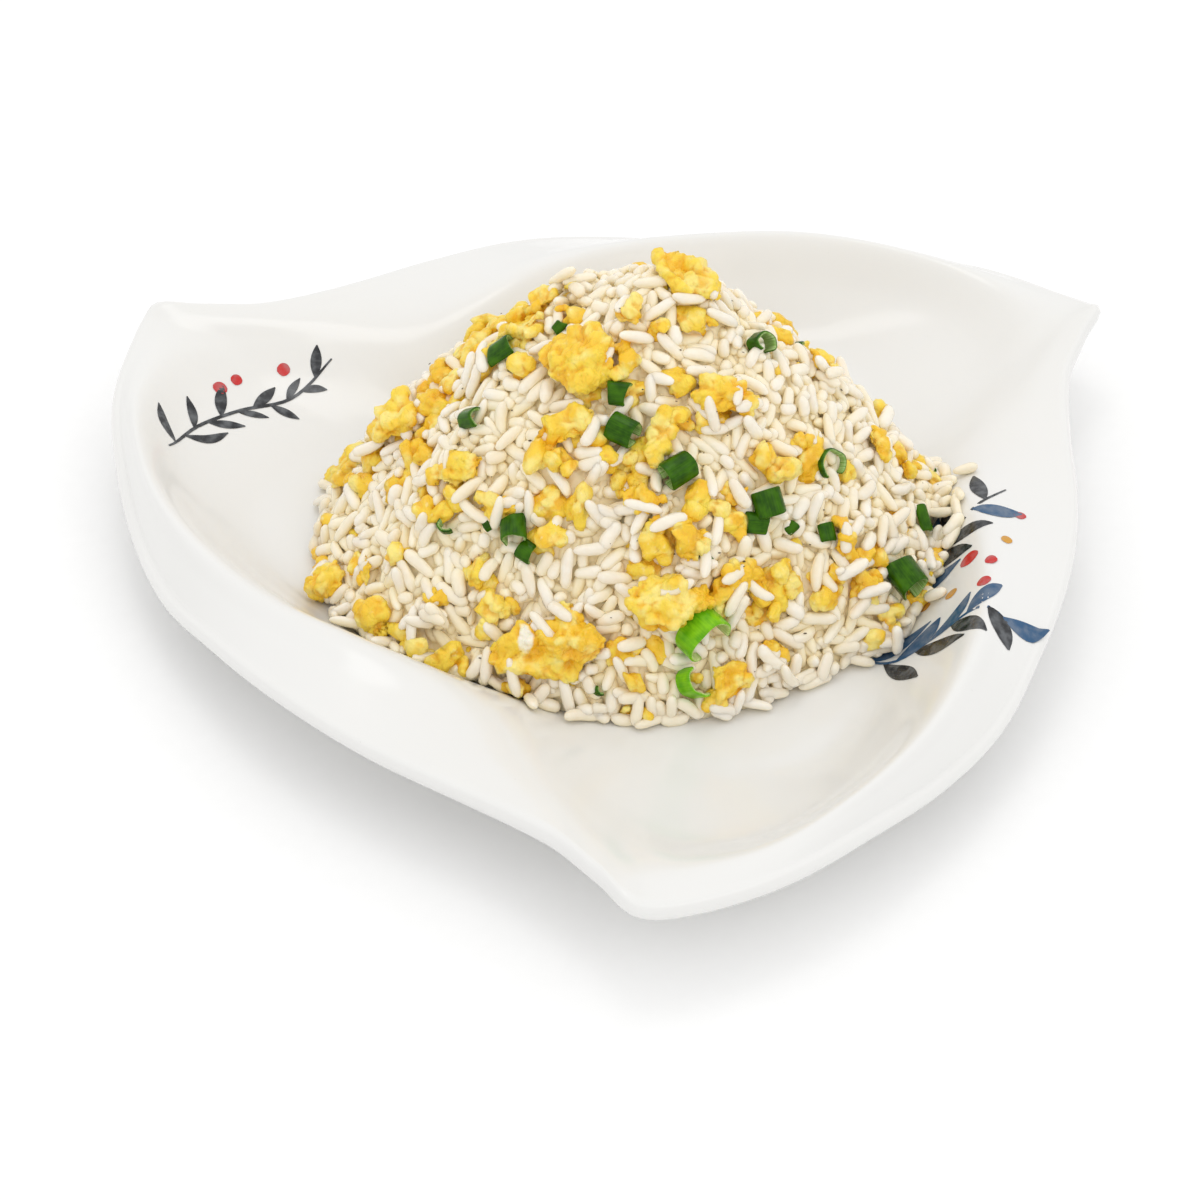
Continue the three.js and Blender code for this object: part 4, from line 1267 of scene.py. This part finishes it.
def grain_points(kept, bend, seed):
    """Points and [tint, crevice, way up] of every grain in kept, grain by grain."""
    form = np.random.default_rng(seed)
    count = len(kept)

    def each(low, high):
        return form.uniform(low, high, (count, 1, 1))

    def of_all(key):
        return np.array([p[key] for p in kept]).reshape(count, 1, 1, -1)

    t = -np.cos(np.linspace(0, math.pi, RINGS + 1))[:, None]
    phi = np.linspace(0, 2 * math.pi, SIDES, endpoint=False)
    body = np.maximum(1 - np.abs(t) ** each(3.0, 4.6), 0) ** 0.5
    groove = each(0.02, 0.12) * np.cos(2 * phi + each(0, 6.3) + each(-1, 1) * t)
    dents = 0.06 * np.sin(each(2, 5) * t + phi + each(0, 6.3)) + 0.03 * np.cos(
        each(4, 7) * t + each(0, 6.3))
    length = of_all("length")[..., 0]
    radius = of_all("width")[..., 0] / 2 * body * (1 + each(-0.16, 0.16) * t) * (1 + groove + dents)
    bow = bend * each(-1.6, 1.6) * length * (0.6 - t ** 2) * 0.5
    along = np.broadcast_to(length / 2 * t, radius.shape)
    across = radius * np.cos(phi) + bow
    above = each(0.82, 0.96) * radius * np.sin(phi)
    out = np.cross(of_all("along"), of_all("side"))
    points = (of_all("centre") + along[..., None] * of_all("along")
              + across[..., None] * of_all("side") + above[..., None] * out)
    points = points.reshape(-1, 3)
    tint, up = (np.broadcast_to(part, radius.shape).ravel() for part in (each(0, 1), np.sin(phi)))
    return points, np.stack([tint, crevice(points), up], -1)


def grain_faces(count):
    """The faces of count grains, each a closed tube of rings."""
    faces = grid_faces(RINGS + 1, SIDES, False)
    last = np.arange(RINGS) * SIDES
    seam = np.stack([last + SIDES - 1, last + 2 * SIDES - 1, last + SIDES, last], -1)
    starts = np.arange(count) * (RINGS + 1) * SIDES
    return (np.concatenate([faces, seam])[None] + starts[:, None, None]).reshape(-1, 4)


# %% Make the rice finish
def rice_finish(name, warmth, lumps=0):
    """Cooked rice lets light through and oil makes it shine; its warm gaps and undersides are painted
    shade.
    """
    rice = Finish(name, Subsurface_Weight=0.35, Subsurface_Radius=(0.8, 0.9, 1.0),
                  Subsurface_Scale=0.0015, IOR=1.45)
    where = rice.place()
    tint, depth, up = rice.attribute("grain_place")
    starch = rice.clouds(where, 700, 3)
    oil = rice.clouds(where, 60, 2)
    grain_white = rice.mix(tint, (0.850, 0.770, 0.630), (0.905, 0.850, 0.745))
    chalky = rice.mix(rice.step(starch, 0.45, 0.7) * 0.35, grain_white, (0.93, 0.89, 0.81))
    oily = rice.mix(rice.step(oil, 0.42, 0.68) * warmth, chalky, (0.91, 0.80, 0.56))
    # Painted shade: the underside of each grain, facing into the heap, is coloured warmer and darker.
    underside_painted_shade = rice.mix(rice.step(up + 0.8 * starch, 1.1, -0.3) * 0.6, oily, (0.93, 0.80, 0.56))
    rice.feed(
        # Painted shade and glow: grains lying deeper than the heap's mean surface are coloured warm
        # tan, as the gaps look.
        Base_Color=rice.mix(rice.step(depth, -1.0, 1.6) * 0.9, underside_painted_shade, (0.99, 0.87, 0.60)),
        Roughness=0.12 + 0.18 * starch,
        Normal=rice.bump(starch + lumps * rice.clouds(where, 380, 1), 0.0002, 0.6),
    )
    return rice.material


rice = rice_finish("rice", 0.45)

# %% Build the kinds of grain
# The name of each piece, its kind of grain, how much the grains bend, and a seed.
GRAIN_PIECES = [
    ("rice_grains", "straight", 0.05, 31),
    ("bent_rice_grains", "bent", 0.14, 32),
    ("plump_rice_grains", "plump", 0.06, 33),
    ("broken_rice_grains", "broken", 0.02, 34),
]
for name, kind, bend, seed in GRAIN_PIECES:
    kept = [p for p in pieces if p["kind"] == kind]
    points, place = grain_points(kept, bend, seed)
    grains = mesh_object(name, points, grain_faces(len(kept)))
    give_attribute(grains, "grain_place", place)
    dress(grains, "rice", rice, "rice_heap")

# %% [markdown]
# ## Under the grains
#
# Between the top grains the eye sees more rice, stuck together, warm and in shade. Empty
# gaps would look black. The core is the heap's own form, raised to just under the grains
# as they now lie, so it fills the gaps to the depth of a grain.

# %% Build the core
CORE_ANGLES = 280
CORE_RINGS = 84
CORE_CLEARANCE = 0.5
CORE_DEPTH = 2.3
LUMP_SIZE = 1.6
LUMP_HEIGHT = 1.1
FLOOR_GAP = 0.2
under_relief = np.maximum(mean_relief - CORE_DEPTH, start_relief)


def dug_points(angle, share):
    """Points of the bare core, under the grains as they lie."""
    x, y = heap_place(angle, share)
    out = read_grid(normal_grid, x, y)
    dig = read_grid(under_relief, x, y)
    return np.stack([x, y, read_grid(core_grid, x, y)], -1) + dig[..., None] * out


core_angle = np.linspace(0, 2 * math.pi, CORE_ANGLES, endpoint=False)[:, None]
trial = np.linspace(0.5, 1, 200)[None, :]
trial_points = dug_points(core_angle, trial)
trial_floor = glaze_height(trial_points[..., 0], trial_points[..., 1])
clear = trial_points[..., 2] - trial_floor > CORE_CLEARANCE
core_edge = np.where(clear, trial, 0).max(axis=1, keepdims=True)
core_share = core_edge * np.linspace(0, 1, CORE_RINGS + 1)[1:]
core_points = dug_points(core_angle, core_share)
for point in core_points.reshape(-1, 3):
    point += LUMP_HEIGHT * noise.noise(Vector(point) / LUMP_SIZE) * np.array([0.3, 0.3, 1])
floor_line = glaze_height(core_points[..., 0], core_points[..., 1]) + FLOOR_GAP
core_points[..., 2] = np.maximum(core_points[..., 2], floor_line)
core_points[:, -1, 2] = floor_line[:, -1]
caps = np.array([[HEAP_X + PEAK_X, HEAP_Y + PEAK_Y, core_grid.max() - CORE_DEPTH],
                 [HEAP_X, HEAP_Y, FLOOR_HEIGHT + FLOOR_GAP]])
all_points = np.concatenate([core_points.reshape(-1, 3), caps])
core_faces = grid_faces(CORE_ANGLES, CORE_RINGS, True)[:, ::-1].tolist()
top_cap = CORE_ANGLES * CORE_RINGS
for i in range(CORE_ANGLES):
    j = (i + 1) % CORE_ANGLES
    core_faces.append((top_cap, i * CORE_RINGS, j * CORE_RINGS))
    core_faces.append((top_cap + 1, (j + 1) * CORE_RINGS - 1, (i + 1) * CORE_RINGS - 1))
core = mesh_object("rice_core", all_points, core_faces)
# Painted shade: a depth of 2 gives the whole core the rice's full warm gap colour.
give_attribute(core, "grain_place", np.tile([0.4, 2.0, 0.0], (len(all_points), 1)))
dress(core, "rice", rice_finish("rice_under", 0.6, 10), "rice_heap")
print("core edge at", core_edge.min().round(3), "to", core_edge.max().round(3), "of the outline")

# %% [markdown]
# ## Crumbs and specks
#
# The torn bits of egg and the tiny dark specks of seasoning on the rice are far below the
# size of a solid. A bit of egg is a ball pushed into lobes by the same formulas as the
# large curds, laid with the grains. A speck is a flat chip on the topmost surface.


# %% Make the egg crumbs
BIT_THICKNESS = 0.38
BIT_DETAIL = 1.25


def ball(detail):
    """Points and faces of a ball of unit radius, in equal triangles."""
    made = bmesh.new()
    bmesh.ops.create_icosphere(made, subdivisions=detail, radius=1)
    points = np.array([v.co for v in made.verts])
    faces = [tuple(v.index for v in f.verts) for f in made.faces]
    made.free()
    return points, faces


def crumb_mesh(piece, shape):
    """Points, faces and [lobes, small curds, white] of one torn bit."""
    points, faces = shape
    sizes = np.array([piece["length"] / 2, piece["width"] / 2, piece["width"] * BIT_THICKNESS])
    axes = np.stack([piece["along"], piece["side"], np.cross(piece["along"], piece["side"])])
    placed, form = [], []
    for p in points:
        spot = Vector((p * sizes) @ axes + piece["centre"])
        lobes, small, fold = egg_form(spot * BIT_DETAIL)
        swell = 1 + 0.45 * (lobes - 0.4) + 0.2 * (small - 0.4) + 0.5 * (fold - 0.4)
        placed.append((p * sizes * swell) @ axes + piece["centre"])
        form.append((lobes, small, 0))
    return np.array(placed), faces, np.array(form)


for name, kind, detail in [("egg_bits", "bit", 3), ("egg_crumbs", "crumb", 2)]:
    shape = ball(detail)
    points, faces, form = join([crumb_mesh(p, shape) for p in pieces if p["kind"] == kind])
    crumbs = mesh_object(name, points, faces)
    give_attribute(crumbs, "curd_form", form)
    dress(crumbs, "egg", egg.material)

# %% Make the dark specks
SPECK_COUNT = 130
SPECK_WIDTHS = (0.16, 0.34)
SPECK_SINK = 0.05
speck_ball = ball(1)
speck_parts = []
for k in range(SPECK_COUNT):
    angle, share = random.uniform(0, 2 * math.pi), math.sqrt(random.uniform(0.02, 0.95))
    x, y = heap_place(angle, share)
    at = on_core(x, y)
    axes = slope_frame(at)
    level = read_one(relief, x, y)
    size = random.uniform(*SPECK_WIDTHS)
    piece = {"length": size * random.uniform(1.2, 3.0), "width": size, "along": axes[:, 0],
             "side": axes[:, 1], "centre": at + (level - SPECK_SINK) * axes[:, 2]}
    speck_parts.append(crumb_mesh(piece, speck_ball))
points, faces, _ = join(speck_parts)
specks = mesh_object("dark_specks", points, faces)
char = Finish("seasoning")
char_clouds = char.clouds(char.place(), 4000, 2)
char.feed(Base_Color=char.mix(char_clouds, (0.035, 0.022, 0.012), (0.12, 0.075, 0.035)),
          Roughness=0.45 + 0.3 * char_clouds)
dress(specks, "rice", char.material)

# %% [markdown]
# ## Floor and light
#
# The plate was taken in a light tent on white paper: light comes from all round, a little
# more from above, so shadows are short and soft, and lie under the near edge. A white
# world, a large soft lamp overhead and a weaker one at the front right do the same. The
# lamps also give the glaze the broad highlights along its crests.

# %% Lay the paper
bpy.ops.mesh.primitive_plane_add(size=8)
paper_sheet = bpy.context.object
paper_sheet.name = "paper"
paper = Finish("paper", Specular_IOR_Level=0.1)
paper_clouds = paper.clouds(paper.place(), 300, 3)
paper.feed(Base_Color=paper.mix(paper_clouds, (0.93, 0.93, 0.93), (0.95, 0.95, 0.95)),
           Roughness=0.9 + 0.05 * paper_clouds)
paper_sheet.data.materials.append(paper.material)

# %% Light the tent
SKY_LEVEL = 1.1
SKY_LOW = 0.8

world = bpy.data.worlds.new("tent")
world.use_nodes = True
tent = Wiring(world.node_tree)
sight = tent.node("ShaderNodeTexCoord", {}).output("Generated")
overhead = tent.node("ShaderNodeSeparateXYZ", {}, sight).output("Z")
tent.fill(world.node_tree.nodes["Background"], {
    "Color": tent.mix(0.5, (1, 1, 1), (1, 0.995, 0.985)),
    "Strength": SKY_LEVEL * (SKY_LOW + (1 - SKY_LOW) * tent.step(overhead, 0.0, 0.8)),
})
bpy.context.scene.world = world


def soft_lamp(name, at, size, power):
    """A round lamp that faces the plate. Places and sizes are in metres."""
    light = bpy.data.lights.new(name, "AREA")
    light.shape = "DISK"
    light.size = size
    light.energy = power
    lamp = bpy.data.objects.new(name, light)
    lamp.location = at
    lamp.rotation_euler = (-Vector(at)).to_track_quat("-Z", "Y").to_euler()
    bpy.context.scene.collection.objects.link(lamp)


soft_lamp("lamp_overhead", (-0.1, 0.3, 1.25), 0.45, 1.0)
soft_lamp("lamp_right", (0.6, -0.6, 0.9), 0.6, 0.7)
bpy.context.scene.view_settings.view_transform = "Standard"
bpy.context.scene.cycles.diffuse_bounces = 6
